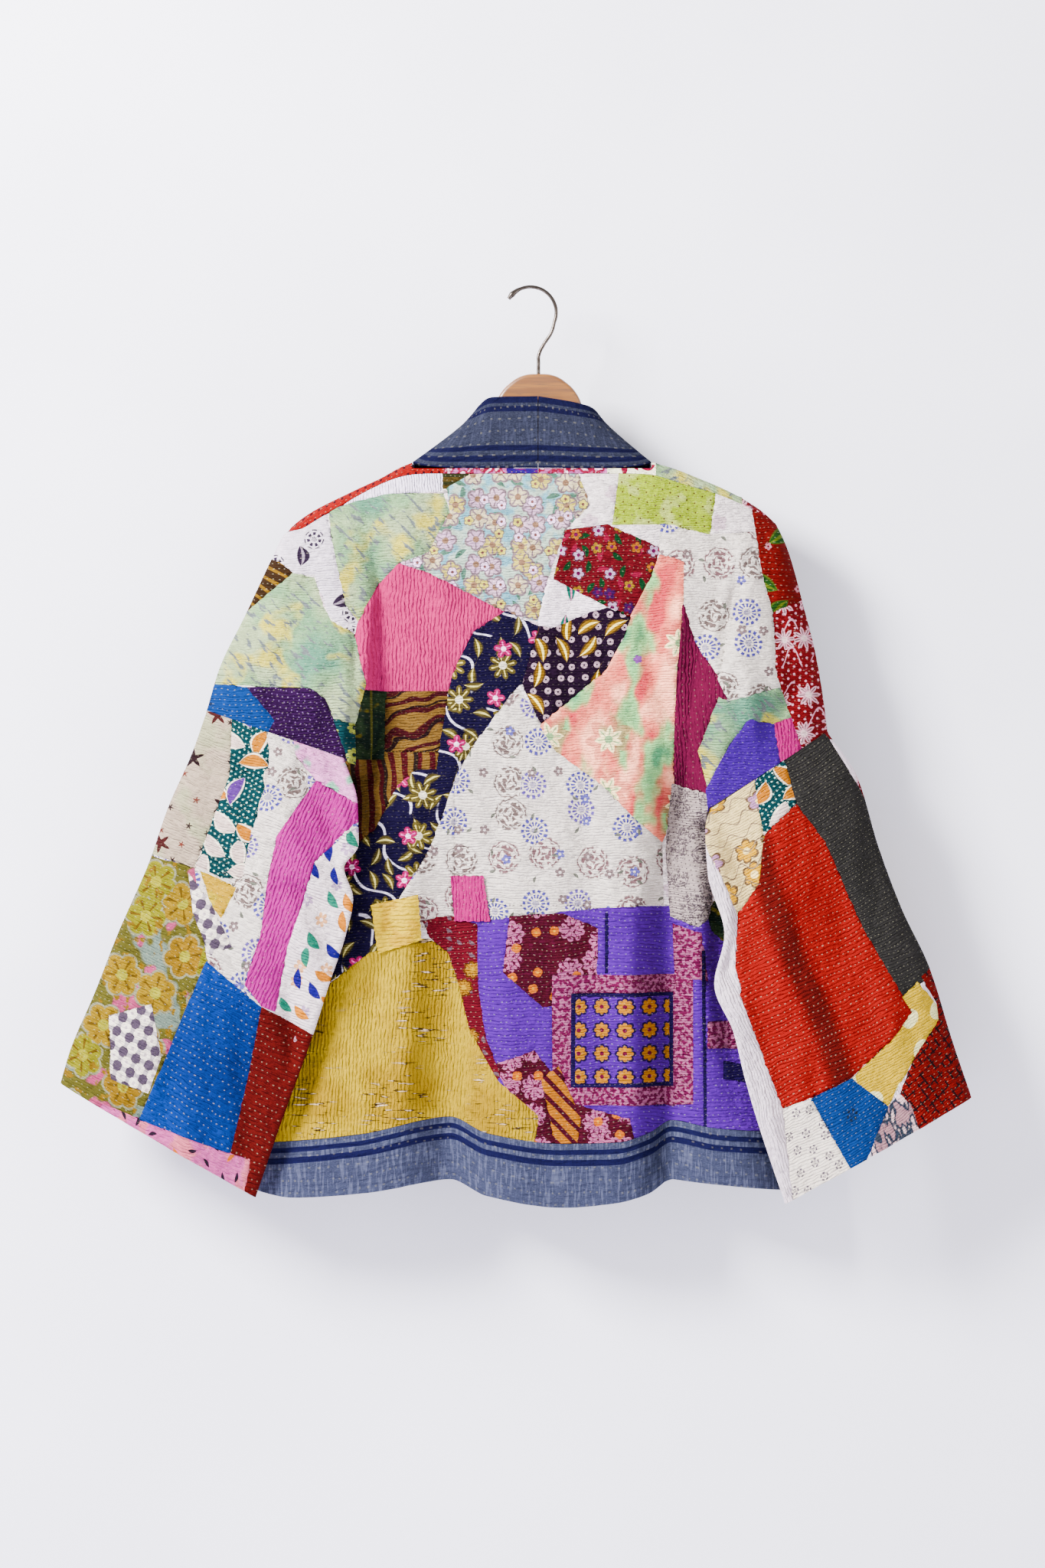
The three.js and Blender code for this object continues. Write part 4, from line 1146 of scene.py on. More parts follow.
def frontOutline(side):
    sign = side["sign"]
    outer = side["outline"][0][1]
    centre = sign * frontCut["centre"] + drape["centreBack"]
    across, down = pointGap["across"], pointGap["down"]
    xs = span(outer, centre, across)  # over the shoulder, on the back
    loop = line(xs, along(wrapWidth, xs) - frontCut["back"])
    xs = span(centre, sign * (drape["neckHalf"] + frontCut["neck"]), across)
    loop += line(xs, shoulderAt(xs) - drape["neckSeam"] + frontCut["back"])
    zs = span(frontCut["neckTop"], drape["frontHemTop"], down)  # down the open edge
    xs = bandSeam(side, zs)
    loop += line(xs, zs - shoulderAt(xs))
    xs = span(xs[-1], along(side["sideSeam"], drape["frontHemTop"]), pointGap["front"])[1:-1]
    loop += line(xs, drape["frontHemTop"] - shoulderAt(xs))
    underZ = side["fold"][-1][0]
    zs = span(drape["frontHemTop"], underZ, down)  # up the side seam
    xs = along(side["sideSeam"], zs)
    loop += line(xs, zs - shoulderAt(xs))
    lastZ, lastX = side["outline"][-1]
    steps = np.linspace(0, 1, frontCut["underSteps"])  # up the armhole
    xs, zs = mix(xs[-1], lastX, steps), mix(underZ, lastZ, steps)
    loop += line(xs[1:], (zs - shoulderAt(xs))[1:])
    xs = span(lastX, outer, across)
    return loop + line(xs[1:], 0 * xs[1:] - frontCut["shoulder"])


def makeFront(name, side, patches, seed):
    edge = frontOutline(side)
    flat, faces, which = cutPanel(edge, patches, pointGap["front"])
    border = borderPoints(flat, faces, which)

    def place(p):
        x, w = p[:, 0], p[:, 1]
        z = shoulderAt(x) - np.abs(w)
        middle, depth = hang(x, z)
        soft = smooth(fromEdge(edge, x, w) / drape["flatRim"]) * smooth(np.abs(w) / drape["flatShoulder"])
        ripple = soft * (creased(x, -w, frontCreases) + puckered(x, z, seed))
        onBack = middle - depth + foldIn(x, z)
        onFront = middle + depth - ripple - drape["patchSeam"] * border
        over = np.where(w > 0, onBack, onFront)
        y = mix(middle, over, smooth(np.abs(w) / frontCut["foldOver"]))
        return np.stack([x, y, z], axis=1)

    return makeCloth(name, flat, faces, which, patches, place, lambda p: p, facing=1)


sleeveCut = {
    "half": 260, "length": 360,  # the flat cut, which the tube's own sizes stretch a little
    "gap": 0.6,                  # below the armhole
    "flatShare": 1 / 34,         # the cloth lies smooth over this share below the armhole
    "cuffShare": 0.05, "cuffRipple": 0.6,
    "sewReach": 0.4,
}


def sleeveRow(side, f):  # outer and inner edge points of a sleeve, f from 0 at the armhole to 1
    outer, inner = side["sleeveOuter"], side["sleeveInner"]
    outZ = mix(outer[0][0], outer[-1][0], f) - sleeveCut["gap"]
    inZ = mix(inner[0][0], inner[-1][0], f) - sleeveCut["gap"]
    return along(outer, outZ), outZ, along(inner, inZ), inZ


def toSleeve(side, corners):  # corners in x, z on the back of a sleeve, as places on its flat cut
    points = np.array([(p.x, p.y) for p in stepped(corners, True, pointGap["sleevePatch"])])
    low, high = np.full(len(points), -0.02), np.full(len(points), 1.02)
    for _ in range(18):
        f = (low + high) / 2
        outX, outZ, inX, inZ = sleeveRow(side, f)
        cross = (inX - outX) * (points[:, 1] - outZ) - (inZ - outZ) * (points[:, 0] - outX)
        above = cross * side["sign"] < 0
        low, high = np.where(above, low, f), np.where(above, f, high)
    outX, outZ, inX, inZ = sleeveRow(side, f)
    u = ((points[:, 0] - outX) * (inX - outX) + (points[:, 1] - outZ) * (inZ - outZ))
    u = u / ((inX - outX) ** 2 + (inZ - outZ) ** 2)
    s = np.arccos(1 - 2 * clamp01(u)) / math.pi
    s = np.where(u < 0, -0.02, np.where(u > 1, 1, s))
    return [(float(a), float(b)) for a, b in zip(s * sleeveCut["half"], -f * sleeveCut["length"])]


def makeSleeve(name, side, patches, frontPatches, creases, seed):
    half, length = sleeveCut["half"], sleeveCut["length"]
    cut = [(label, toSleeve(side, corners)) for label, corners in patches] + frontPatches
    outline = [(0, 2), (0, -length), (half, -length), (2 * half, -length), (2 * half, 2), (half, 2)]
    flat, faces, which = cutPanel(outline, cut, pointGap["sleeve"])
    border = borderPoints(flat, faces, which)

    def place(p):
        f, s = -p[:, 1] / length, p[:, 0] / half
        u = (1 - np.cos(math.pi * s)) / 2
        outX, outZ, inX, inZ = sleeveRow(side, f)
        width = np.hypot(outX - inX, outZ - inZ)
        middle = mix(along(sleeveOuterDepth, f), along(sleeveInnerDepth, f), u)
        closing = rounded(u * width / drape["edgeRound"]) * smooth((1 - u) * width / drape["underSpread"])
        thin = drape["edgeHalfDepth"] * clamp01(4 * np.abs(np.sin(math.pi * s)))
        x, z = mix(outX, inX, u), mix(outZ, inZ, u)
        soft = smooth(u * width / drape["flatRim"]) * smooth((1 - u) * width / drape["flatRim"])
        nearCuff = smooth((f - 1) / sleeveCut["cuffShare"] + 1)
        soft = soft * smooth(f / sleeveCut["flatShare"]) * mix(1, sleeveCut["cuffRipple"], nearCuff)
        drawn = puckered(x, z, seed) + drape["patchSeam"] * border
        ripple = soft * (creased(x, z, creases) * (s <= 1) + drawn)
        face = np.where(s <= 1, -1, 1)
        y = middle + face * (thin + along(sleeveHalf, f) * closing - ripple)
        return np.stack([x, y, z], axis=1)

    def uvAt(p):
        f, s = -p[:, 1] / length, p[:, 0] / half
        outX, outZ, inX, inZ = sleeveRow(side, f)
        width = np.hypot(outX - inX, outZ - inZ)
        u = (1 - np.cos(math.pi * s)) / 2
        return np.stack([np.where(s <= 1, u, 2 - u) * width, p[:, 1]], axis=1)

    piece = makeCloth(name, flat, faces, which, cut, place, uvAt, facing=side["sign"])
    mergeSeam(piece)
    sharpenRim(piece)
    return piece


def mergeSeam(piece):  # sews the two long edges of a tube together
    mesh = bmesh.new()
    mesh.from_mesh(piece.data)
    edges = [v for v in mesh.verts if v.is_boundary]
    bmesh.ops.remove_doubles(mesh, verts=edges, dist=sleeveCut["sewReach"] * mm)
    mesh.to_mesh(piece.data)
    mesh.free()


def makeGrid(name, points, uv, material, thick=drape["clothThick"]):  # a band of cloth from rows of points
    rows, columns = points.shape[:2]
    index = np.arange(rows * columns).reshape(rows, columns)
    quads = np.stack([index[:-1, :-1], index[:-1, 1:], index[1:, 1:], index[1:, :-1]], axis=-1)
    quads = quads.reshape(-1, 4)
    mesh = bpy.data.meshes.new(name)
    mesh.from_pydata((points.reshape(-1, 3) * mm).tolist(), [], quads.tolist())
    mesh.materials.append(prints[material])
    return sewUp(name, mesh, uv.reshape(-1, 2)[quads.reshape(-1)], thick)


neckband = {"across": 26, "perStation": 26, "crown": 2, "width": 66, "ripple": 0.7, "flatStart": 30}


def makeNeckband(name, side, backRows, seed):
    sign = side["sign"]
    front = [(sign * a, b, c, sign * d, e, f) for a, b, c, d, e, f in bandFront]
    rows = backRows + front
    at = np.linspace(0, len(rows) - 1, (len(rows) - 1) * neckband["perStation"] + 1)
    read = [along([(k, row[n]) for k, row in enumerate(rows)], at) for n in range(6)]
    turnsDown = len(backRows)  # the row where the band leaves the neck for the front
    seamX = sign * along([(row[2], row[0]) for row in bandFront], read[2])
    seamX = np.where(at < turnsDown, read[0], seamX)
    t = np.linspace(0, 1, neckband["across"] + 1)[None, :]
    column = [value[:, None] for value in read]
    full = neckband["crown"] * np.sin(math.pi * t) * np.where(at < turnsDown - 1, -1, 1)[:, None]
    x = mix(seamX[:, None], column[3], t)
    y = mix(column[1], column[4], t) + full
    z = mix(column[2], column[5], t)
    middle = neckband["across"] // 2
    step = np.hypot(np.hypot(np.diff(x[:, middle]), np.diff(y[:, middle])), np.diff(z[:, middle]))
    run = np.concatenate([[0], np.cumsum(step)])[:, None] + 0 * t
    soft = np.sin(math.pi * t) * np.sin(upright * clamp01(run / neckband["flatStart"]))
    over = t * neckband["width"] + 0 * run
    wave = puckered((run + seed * 200).ravel(), over.ravel(), seed).reshape(x.shape)
    y = y + neckband["ripple"] * wave * soft
    return makeGrid(name, np.stack([x, y, z], axis=-1), np.stack([run, over], axis=-1), "handloom")


hem = {
    "across": 15, "along": 320, "frontAlong": 110, "ripple": 0.6, "gap": 0.4,
    "left": (-775, 45), "right": (-765, 50),  # top and depth at each side seam
}


def makeBackHem():
    t = np.linspace(0, 1, hem["across"] + 1)[:, None]
    u = np.linspace(0, 1, hem["along"] + 1)[None, :]
    left, right = [along(sides[side]["sideSeam"], hem[side][0] - hem[side][1] * t) for side in sides]
    x = mix(left, right, u)
    z = mix(along(hemTop, x) - hem["gap"], along(hemBottom, x), t)
    y = backY(x, z) + hem["ripple"] * smooth(t * 4) * puckered(x.ravel(), z.ravel(), 31).reshape(x.shape)
    depth = along(hemTop, x) - z
    return makeGrid("hemBack", np.stack([x, y, z], axis=-1), np.stack([x, depth], axis=-1), "hemLoom")


def makeFrontHem(name, side):
    t = np.linspace(0, 1, hem["across"] + 1)[:, None]
    u = np.linspace(0, 1, hem["frontAlong"] + 1)[None, :]
    z = mix(drape["frontHemTop"] - hem["gap"], drape["frontHemBottom"], t)
    x = mix(along(side["sideSeam"], z), bandSeam(side, z), u)
    z = z + 0 * x
    y = frontY(x, z) + hem["ripple"] * smooth(t * 4) * puckered(x.ravel(), z.ravel(), 33).reshape(x.shape)
    uv = np.stack([x, drape["frontHemTop"] - z], axis=-1)
    return makeGrid(name, np.stack([x, y, z], axis=-1), uv, "hemLoom")


square = {
    "lift": 3.2, "thick": 1.2, "cells": 16, "curl": 0.7, "fray": 0.5,
    "yellow": [(-145, -559), (-103, -550), (-100, -591), (-139, -603)],
    "pink": [(-74, -533), (-44, -533), (-38, -574), (-70, -574)],
}


def makeSquare(name, corners, material):  # a small square sewn on over the others
    a, b, c, d = [np.array(corner, float) for corner in corners]
    u = np.linspace(0, 1, square["cells"] + 1)[None, :, None]
    v = np.linspace(0, 1, square["cells"] + 1)[:, None, None]
    flat = mix(mix(a, b, u), mix(d, c, u), v)
    sideEdge, endEdge = np.abs(u - 0.5) > 0.49, np.abs(v - 0.5) > 0.49
    fray = np.sin(flat[..., 1:] * 0.9) * sideEdge + np.sin(flat[..., :1] * 0.8) * endEdge
    flat = flat + square["fray"] * fray
    corner = (np.abs(2 * u - 1) * np.abs(2 * v - 1))[..., 0] ** 6
    points = placeBack(flat[..., 0].ravel(), flat[..., 1].ravel(), lift=square["lift"])
    points = points.reshape(*flat.shape[:2], 3)
    points[..., 1] -= square["curl"] * corner
    return makeGrid(name, points, flat, material, square["thick"])


hanger = {
    "half": [
        (0, -77.6), (14, -79), (26, -86), (35, -96), (40, -108), (43, -126), (58, -143), (104, -171),
        (156, -191), (196, -211), (205, -220), (203, -230), (192, -232), (150, -214), (96, -196), (40, -172),
        (14, -160),
    ],
    "stemX": 6, "thick": 12, "edge": 3, "wire": 1.65, "hookRadius": 23.4, "hookX": -1.4, "hookZ": -21.7,
    "neck": [(17.5, -40), (10.5, -51), (6.3, -60), (6, -68), (6, -84)],  # the hook's wire down to the wood
    "bead": (1.0, 1.7, 1.35, 1),  # the bead on the hook's tip, as shares of the wire
    "wood": [(186, 128, 58), (162, 100, 38), (122, 72, 32)],  # pale, dark and pores
    "steel": [(150, 140, 134), (112, 98, 90)],
}


def bend(data, places, closed):  # a smooth line through a row of places
    spline = data.splines.new("BEZIER")
    spline.bezier_points.add(len(places) - 1)
    for point, place in zip(spline.bezier_points, places):
        point.co = [value * mm for value in place]
        point.handle_left_type = point.handle_right_type = "AUTO"
    spline.use_cyclic_u = closed
    return spline.bezier_points


def makeHangerWood():
    right = [(hanger["stemX"] + x, z, 0) for x, z in hanger["half"]]
    left = [(hanger["stemX"] - x, z, 0) for x, z in reversed(hanger["half"][1:])]
    data = bpy.data.curves.new("hangerWood", "CURVE")
    data.dimensions = "2D"
    data.fill_mode = "BOTH"
    data.extrude = (hanger["thick"] / 2 - hanger["edge"]) * mm
    data.bevel_depth = hanger["edge"] * mm
    data.offset = -hanger["edge"] * mm
    data.bevel_resolution = 4
    data.resolution_u = 8
    bend(data, right + left, True)
    draft = hangUp("hangerDraft", data)
    draft.rotation_euler = (upright, 0, 0)
    bpy.context.view_layer.update()
    solid = draft.evaluated_get(bpy.context.evaluated_depsgraph_get())
    mesh = bpy.data.meshes.new_from_object(solid)
    mesh.transform(draft.matrix_world)
    piece = hangUp("hangerWood", mesh)
    bpy.data.objects.remove(draft)
    for polygon in mesh.polygons:
        polygon.use_smooth = True
    mesh.materials.clear()
    mesh.materials.append(woodMaterial())
    return piece


def makeHook():
    turns = np.radians([148] + list(range(136, -21, -12)))
    x = hanger["hookX"] + hanger["hookRadius"] * np.cos(turns)
    z = hanger["hookZ"] + hanger["hookRadius"] * np.sin(turns)
    route = [(a, 0, b) for a, b in line(x, z) + hanger["neck"]]
    data = bpy.data.curves.new("hangerHook", "CURVE")
    data.dimensions = "3D"
    data.bevel_depth = hanger["wire"] * mm
    data.bevel_resolution = 6
    data.use_fill_caps = True
    data.resolution_u = 6
    for point, share in zip(bend(data, route, False), hanger["bead"]):
        point.radius = share
    data.materials.append(steelMaterial())
    return hangUp("hangerHook", data)


def woodMaterial():
    material, tree, shader = newMaterial("varnishedBeech")
    place = put(tree, "TexCoord").outputs["Object"]
    streak = grain(tree, stretch(tree, place, (14, 60, 170)), 1, 4)
    fine = grain(tree, stretch(tree, place, (60, 300, 1400)), 1, 2)
    pale, dark, pores = [dye(*tone) for tone in hanger["wood"]]
    colour = lay(tree, soften(tree, streak, 0.35, 0.7), pale, dark)
    colour = lay(tree, times(tree, soften(tree, fine, 0.52, 0.66), 0.5), colour, pores)
    rough = plus(tree, 0.34, times(tree, fine, 0.2))
    fill(tree, shader, {"Base Color": colour, "Roughness": rough, "Coat Weight": 0.35, "Coat Roughness": 0.2})
    bumped(tree, shader, fine, 0.15, 0.0004)
    return material


def steelMaterial():
    material, tree, shader = newMaterial("chromedWire")
    worn = grain(tree, put(tree, "TexCoord").outputs["Object"], 320, 3)
    colour = lay(tree, soften(tree, worn, 0.4, 0.7), *[dye(*tone) for tone in hanger["steel"]])
    rough = plus(tree, 0.16, times(tree, worn, 0.2))
    fill(tree, shader, {"Base Color": colour, "Metallic": 1, "Roughness": rough})
    return material


# patch outlines in millimetres; the first of a panel is its ground, and a later one lies over the others
backPatches = [
    ("paleWhite", [(-310, -150), (310, -150), (310, -850), (-310, -850)]),
    ("lavender", [(-60, -560), (165, -560), (240, -540), (240, -800), (-60, -800)]),
    ("whiteStrip", [(-240, -160), (-81, -160), (-81, -186), (-129, -188), (-157, -194), (-240, -230)]),
    ("oliveBit", [(-81, -160), (-57, -160), (-57, -172), (-77, -184), (-81, -184)]),
    ("greenWash", [(-184, -203), (-157, -194), (-129, -188), (-80, -187), (-74, -205), (-93, -242),
        (-120, -252), (-143, -276), (-156, -304), (-168, -289), (-180, -233)]),
    ("paleWhite", [(38, -160), (82, -160), (74, -216), (30, -222), (38, -174)]),
    ("pastelBlossom", [(-77, -183), (-57, -171), (-57, -160), (38, -160), (53, -198), (30, -221),
        (14, -266), (6, -304), (-24, -295), (-89, -262), (-120, -252), (-93, -241), (-74, -205)]),
    ("limeDot", [(80, -160), (170, -160), (166, -188), (160, -227), (126, -216), (72, -217)]),
    ("tulip", [(14, -266), (19, -264), (68, -289), (64, -294), (56, -295), (19, -311), (6, -308),
        (6, -303)]),
    ("redPosy", [(30, -221), (68, -216), (116, -237), (106, -267), (89, -300), (68, -290), (19, -265)]),
    ("coralPink", [(-120, -251), (-89, -262), (-24, -295), (-54, -314), (-70, -348), (-75, -369),
        (-110, -369), (-170, -369), (-156, -304), (-143, -276)]),
    ("greenBrocade", [(-175, -364), (-131, -366), (-133, -428), (-175, -428)]),
    ("batik", [(-131, -366), (-68, -366), (-75, -387), (-83, -414), (-84, -421), (-133, -421)]),
    ("batikLower", [(-133, -421), (-84, -421), (-86, -437), (-104, -437), (-121, -452), (-133, -474),
        (-142, -492), (-157, -505), (-175, -500), (-175, -428), (-133, -428)]),
    ("rosettes", [(115, -215), (159, -225), (210, -222), (205, -245), (175, -375), (159, -356), (147, -322),
        (136, -287), (137, -249), (115, -243)]),
    ("rosettes", [(-14, -360), (8, -394), (22, -421), (63, -451), (92, -481), (117, -503), (119, -560),
        (107, -559), (50, -563), (0, -568), (-38, -573), (-76, -573), (-76, -440)]),
    ("rosettes", [(-70, -440), (-83, -484), (-95, -513), (-119, -552), (-103, -560), (-100, -582),
        (-92, -575), (-70, -571)]),
    ("coralMint", [(115, -243), (137, -249), (136, -287), (129, -406), (128, -449), (121, -494),
        (117, -503), (92, -481), (63, -451), (22, -421), (7, -398), (19, -387), (66, -348), (88, -300),
        (106, -267)]),
    ("magenta", [(136, -287), (147, -322), (170, -358), (176, -380), (159, -460), (128, -449),
        (130, -351)]),
    ("greyPaisley", [(126, -449), (160, -460), (162, -558), (162, -568), (150, -579), (126, -570),
        (120, -510)]),
    ("navyVine", [(-24, -294), (6, -308), (-9, -360), (-14, -363), (-32, -387), (-55, -418), (-68, -441),
        (-72, -452), (-83, -484), (-95, -513), (-119, -551), (-120, -600), (-147, -604), (-190, -634),
        (-200, -560), (-172, -515), (-157, -504), (-142, -492), (-133, -474), (-121, -452), (-104, -437),
        (-86, -437), (-83, -414), (-75, -366), (-70, -348), (-54, -314)]),
    ("ringLeaf", [(6, -308), (17, -310), (56, -294), (68, -291), (89, -300), (83, -318), (66, -348),
        (19, -387), (8, -396), (-9, -360)]),
    ("maroonBloom", [(-20, -569), (28, -567), (60, -580), (58, -640), (10, -652), (-26, -620)]),
    ("plumSpeckle", [(18, -622), (146, -622), (146, -739), (130, -741), (18, -739)]),
    ("navyBlock", [(35, -638), (129, -638), (129, -724), (35, -724)]),
    ("lavenderBloom", [(39, -642), (125, -642), (125, -720), (39, -720)]),
    ("plumSpeckle", [(128, -576), (152, -584), (158, -628), (130, -622)]),
    ("greenBrocade", [(158, -572), (163, -556), (174, -552), (188, -560), (188, -596), (172, -592),
        (161, -582)]),
    ("maroonBloom", [(-34, -703), (2, -690), (40, -739), (88, -752), (96, -790), (-6, -790), (-10, -750)]),
    ("orangeBlock", [(8, -716), (24, -704), (44, -752), (40, -780), (22, -780)]),
    ("navyBlock", [(152, -600), (155, -600), (158, -760), (155, -760)]),
    ("navyBlock", [(66, -566), (69, -566), (69, -621), (66, -621)]),
    ("plumSpeckle", [(158, -664), (205, -664), (208, -690), (158, -688)]),
    ("navyBlock", [(172, -700), (205, -706), (205, -722), (172, -716)]),
    ("crimson", [(-100, -573), (-74, -569), (-49, -577), (-48, -634), (-41, -679), (-28, -712), (-31, -719),
        (-55, -676), (-66, -632), (-76, -603), (-93, -589)]),
    ("yellowWorn", [(-147, -602), (-100, -590), (-93, -590), (-76, -603), (-66, -632), (-55, -676),
        (-31, -717), (6, -749), (0, -790), (-260, -800), (-260, -720), (-205, -672), (-194, -643),
        (-183, -631)]),
    ("whiteMotif", [(-240, -205), (-204, -200), (-186, -203), (-180, -233), (-168, -289), (-156, -304),
        (-161, -316), (-182, -300), (-196, -262), (-216, -261), (-231, -250), (-245, -240)]),
    ("brownBit", [(-228, -249), (-214, -261), (-262, -298), (-270, -300), (-245, -245)]),
    ("greenWash", [(-216, -260), (-196, -264), (-188, -289), (-180, -304), (-159, -316), (-150, -360),
        (-159, -396), (-178, -391), (-186, -373), (-198, -364), (-287, -361), (-300, -360), (-262, -298)]),
    ("blueBit", [(-300, -359), (-257, -363), (-231, -393), (-241, -410), (-300, -410)]),
    ("purpleDots", [(-257, -363), (-198, -364), (-186, -373), (-178, -391), (-164, -430), (-230, -425),
        (-241, -410), (-231, -393)]),
    ("tealBrocade", [(-178, -391), (-160, -396), (-160, -432), (-166, -430)]),
    ("redGreenPaisley", [(197, -190), (232, -200), (245, -248), (248, -284), (217, -296), (207, -259)]),
    ("crimsonPaisley", [(217, -295), (248, -282), (280, -344), (280, -425), (228, -438), (233, -390),
        (223, -363), (219, -349)]),
    ("rosettes", [(198, -235), (207, -259), (217, -296), (219, -349), (223, -363), (176, -376),
        (167, -356)]),
    ("greenWash", [(176, -376), (223, -363), (233, -390), (217, -396), (195, -392), (170, -425),
        (159, -455), (150, -420), (168, -372)]),
    ("violet", [(195, -392), (217, -396), (222, -425), (223, -438), (159, -488), (157, -455), (175, -418)]),
    ("brightPink", [(217, -396), (233, -390), (241, -415), (244, -428), (223, -438), (222, -425)]),
]
leftSleevePatches = [
    ("rosettes", [(-320, -360), (-150, -400), (-120, -840), (-440, -840), (-440, -500)]),
    ("starBeige", [(-330, -360), (-269, -375), (-269, -401), (-271, -443), (-279, -472), (-289, -498),
        (-303, -526), (-360, -508)]),
    ("tealPetal", [(-269, -375), (-241, -390), (-236, -420), (-237, -443), (-245, -472), (-255, -508),
        (-259, -533), (-277, -535), (-303, -524), (-285, -478), (-272, -443)]),
    ("lilacGreen", [(-215, -405), (-160, -405), (-145, -440), (-145, -474), (-194, -447), (-213, -424)]),
    ("smallMotif", [(-150, -480), (-150, -504), (-172, -525), (-150, -553), (-160, -583), (-175, -641),
        (-190, -676), (-198, -675), (-242, -652), (-220, -599), (-208, -563), (-196, -521)]),
    ("orchid", [(-194, -447), (-150, -472), (-150, -486), (-161, -486), (-196, -521), (-208, -563),
        (-220, -599), (-231, -654), (-243, -649), (-258, -630), (-243, -583), (-237, -532), (-228, -496),
        (-208, -465)]),
    ("yellowFloral", [(-370, -508), (-303, -526), (-291, -610), (-353, -753), (-386, -760), (-440, -740),
        (-450, -700)]),
    ("sunTriangle", [(-299, -528), (-265, -543), (-279, -571), (-289, -556)]),
    ("greyTile", [(-309, -530), (-289, -556), (-269, -596), (-288, -604), (-304, -567)]),
    ("greyTile", [(-381, -659), (-342, -648), (-333, -694), (-345, -728), (-379, -716)]),
    ("pinkCuff", [(-386, -738), (-353, -751), (-273, -781), (-253, -787), (-256, -840), (-420, -780)]),
    ("bigBlue", [(-292, -609), (-243, -650), (-255, -712), (-272, -782), (-353, -752)]),
    ("darkRed", [(-243, -650), (-198, -675), (-190, -676), (-235, -800), (-250, -840), (-259, -819),
        (-253, -788), (-272, -782), (-255, -712)]),
]
rightSleevePatches = [
    ("plainWhite", [(150, -460), (280, -390), (440, -720), (230, -850), (140, -800)]),
    ("crimsonPaisley", [(228, -400), (280, -380), (284, -410), (241, -411)]),
    ("brightPink", [(217, -405), (233, -398), (241, -413), (222, -430)]),
    ("violet", [(155, -440), (222, -415), (222, -426), (157, -477), (150, -470)]),
    ("crimsonPaisley", [(290, -425), (330, -505), (350, -560), (326, -519), (292, -452)]),
    ("charcoal", [(226, -424), (221, -416), (255, -393), (262, -401), (294, -453), (326, -519), (353, -590),
        (364, -618), (356, -626), (333, -641), (298, -581), (263, -502), (237, -468)]),
    ("tealPetal", [(200, -446), (195, -438), (221, -416), (226, -424), (237, -468), (214, -490),
        (208, -502)]),
    ("creamEmbroidery", [(150, -480), (145, -472), (195, -438), (200, -446), (208, -502), (203, -545),
        (184, -568), (168, -530), (150, -495)]),
    ("redPlain", [(237, -468), (263, -502), (298, -581), (333, -641), (342, -655), (322, -681), (287, -713),
        (253, -731), (225, -742), (186, -639), (188, -634), (183, -616), (184, -568), (204, -540),
        (208, -496)]),
    ("yellowOval", [(332, -642), (347, -628), (366, -652), (366, -663), (344, -695), (320, -740),
        (287, -714), (322, -681), (342, -655)]),
    ("redCheck", [(350, -624), (364, -612), (410, -735), (352, -775), (342, -741), (331, -728), (344, -695),
        (366, -663), (364, -648)]),
    ("mottled", [(320, -740), (331, -728), (342, -741), (352, -775), (305, -800), (304, -780),
        (313, -757)]),
    ("blueBit", [(250, -733), (287, -714), (320, -740), (313, -757), (304, -780), (290, -805)]),
    ("smallPrint", [(225, -742), (250, -733), (290, -803), (262, -830), (235, -828)]),
]
# the hidden front face of each sleeve, in places on its flat cut
leftSleeveFront = [
    ("greenWash", [(262, 5), (540, 5), (540, -95), (262, -80)]),
    ("coralPink", [(262, -80), (540, -95), (540, -200), (262, -215)]),
    ("bigBlue", [(262, -215), (540, -200), (540, -290), (262, -300)]),
    ("pinkCuff", [(262, -300), (540, -290), (540, -365), (262, -365)]),
]
rightSleeveFront = [
    ("crimsonPaisley", [(262, 5), (540, 5), (540, -80), (262, -100)]),
    ("softYellow", [(262, -100), (540, -80), (540, -190), (262, -180)]),
    ("redPlain", [(262, -180), (540, -190), (540, -300), (262, -290)]),
    ("redCheck", [(262, -290), (540, -300), (540, -365), (262, -365)]),
]
# fronts: x, and the drop from the shoulder line as a negative number; above 0 lies over on the back
leftFrontPatches = [
    ("pastelBlossom", [(-320, 20), (10, 20), (10, -720), (-320, -720)]),
    ("redWrap", [(-240, 20), (-80, 20), (-80, 4), (-104, -46), (-240, -40), (-300, -30), (-300, 0.5),
        (-226, 0.5)]),
    ("pinkMottle", [(-80, 20), (-23, 20), (-23, 3), (-80, 3)]),
    ("bluePurple", [(-23, 20), (8, 20), (8, 3), (-23, 3)]),
    ("bigBlue", [(-300, -240), (-60, -250), (-60, -420), (-300, -380)]),
    ("coralPink", [(-300, -380), (-60, -420), (-60, -620), (-300, -620)]),
]
rightFrontPatches = [
    ("greenWash", [(320, 20), (0, 20), (0, -720), (320, -720)]),
    ("pinkMottle", [(4, 20), (68, 20), (68, 3), (4, 3)]),
    ("whiteGreen", [(68, 20), (112, 20), (112, -30), (104, -30), (68, 3)]),
    ("crimsonPaisley", [(190, 20), (240, 20), (290, 0.5), (290, -60), (190, -50)]),
    ("redPlain", [(320, -230), (60, -260), (60, -430), (320, -400)]),
    ("yellowWorn", [(320, -400), (60, -430), (60, -620), (320, -600)]),
]

prints = {name: clothMaterial(name, **look) for name, look in looks.items()}
print("dyed", len(prints), "cloths")

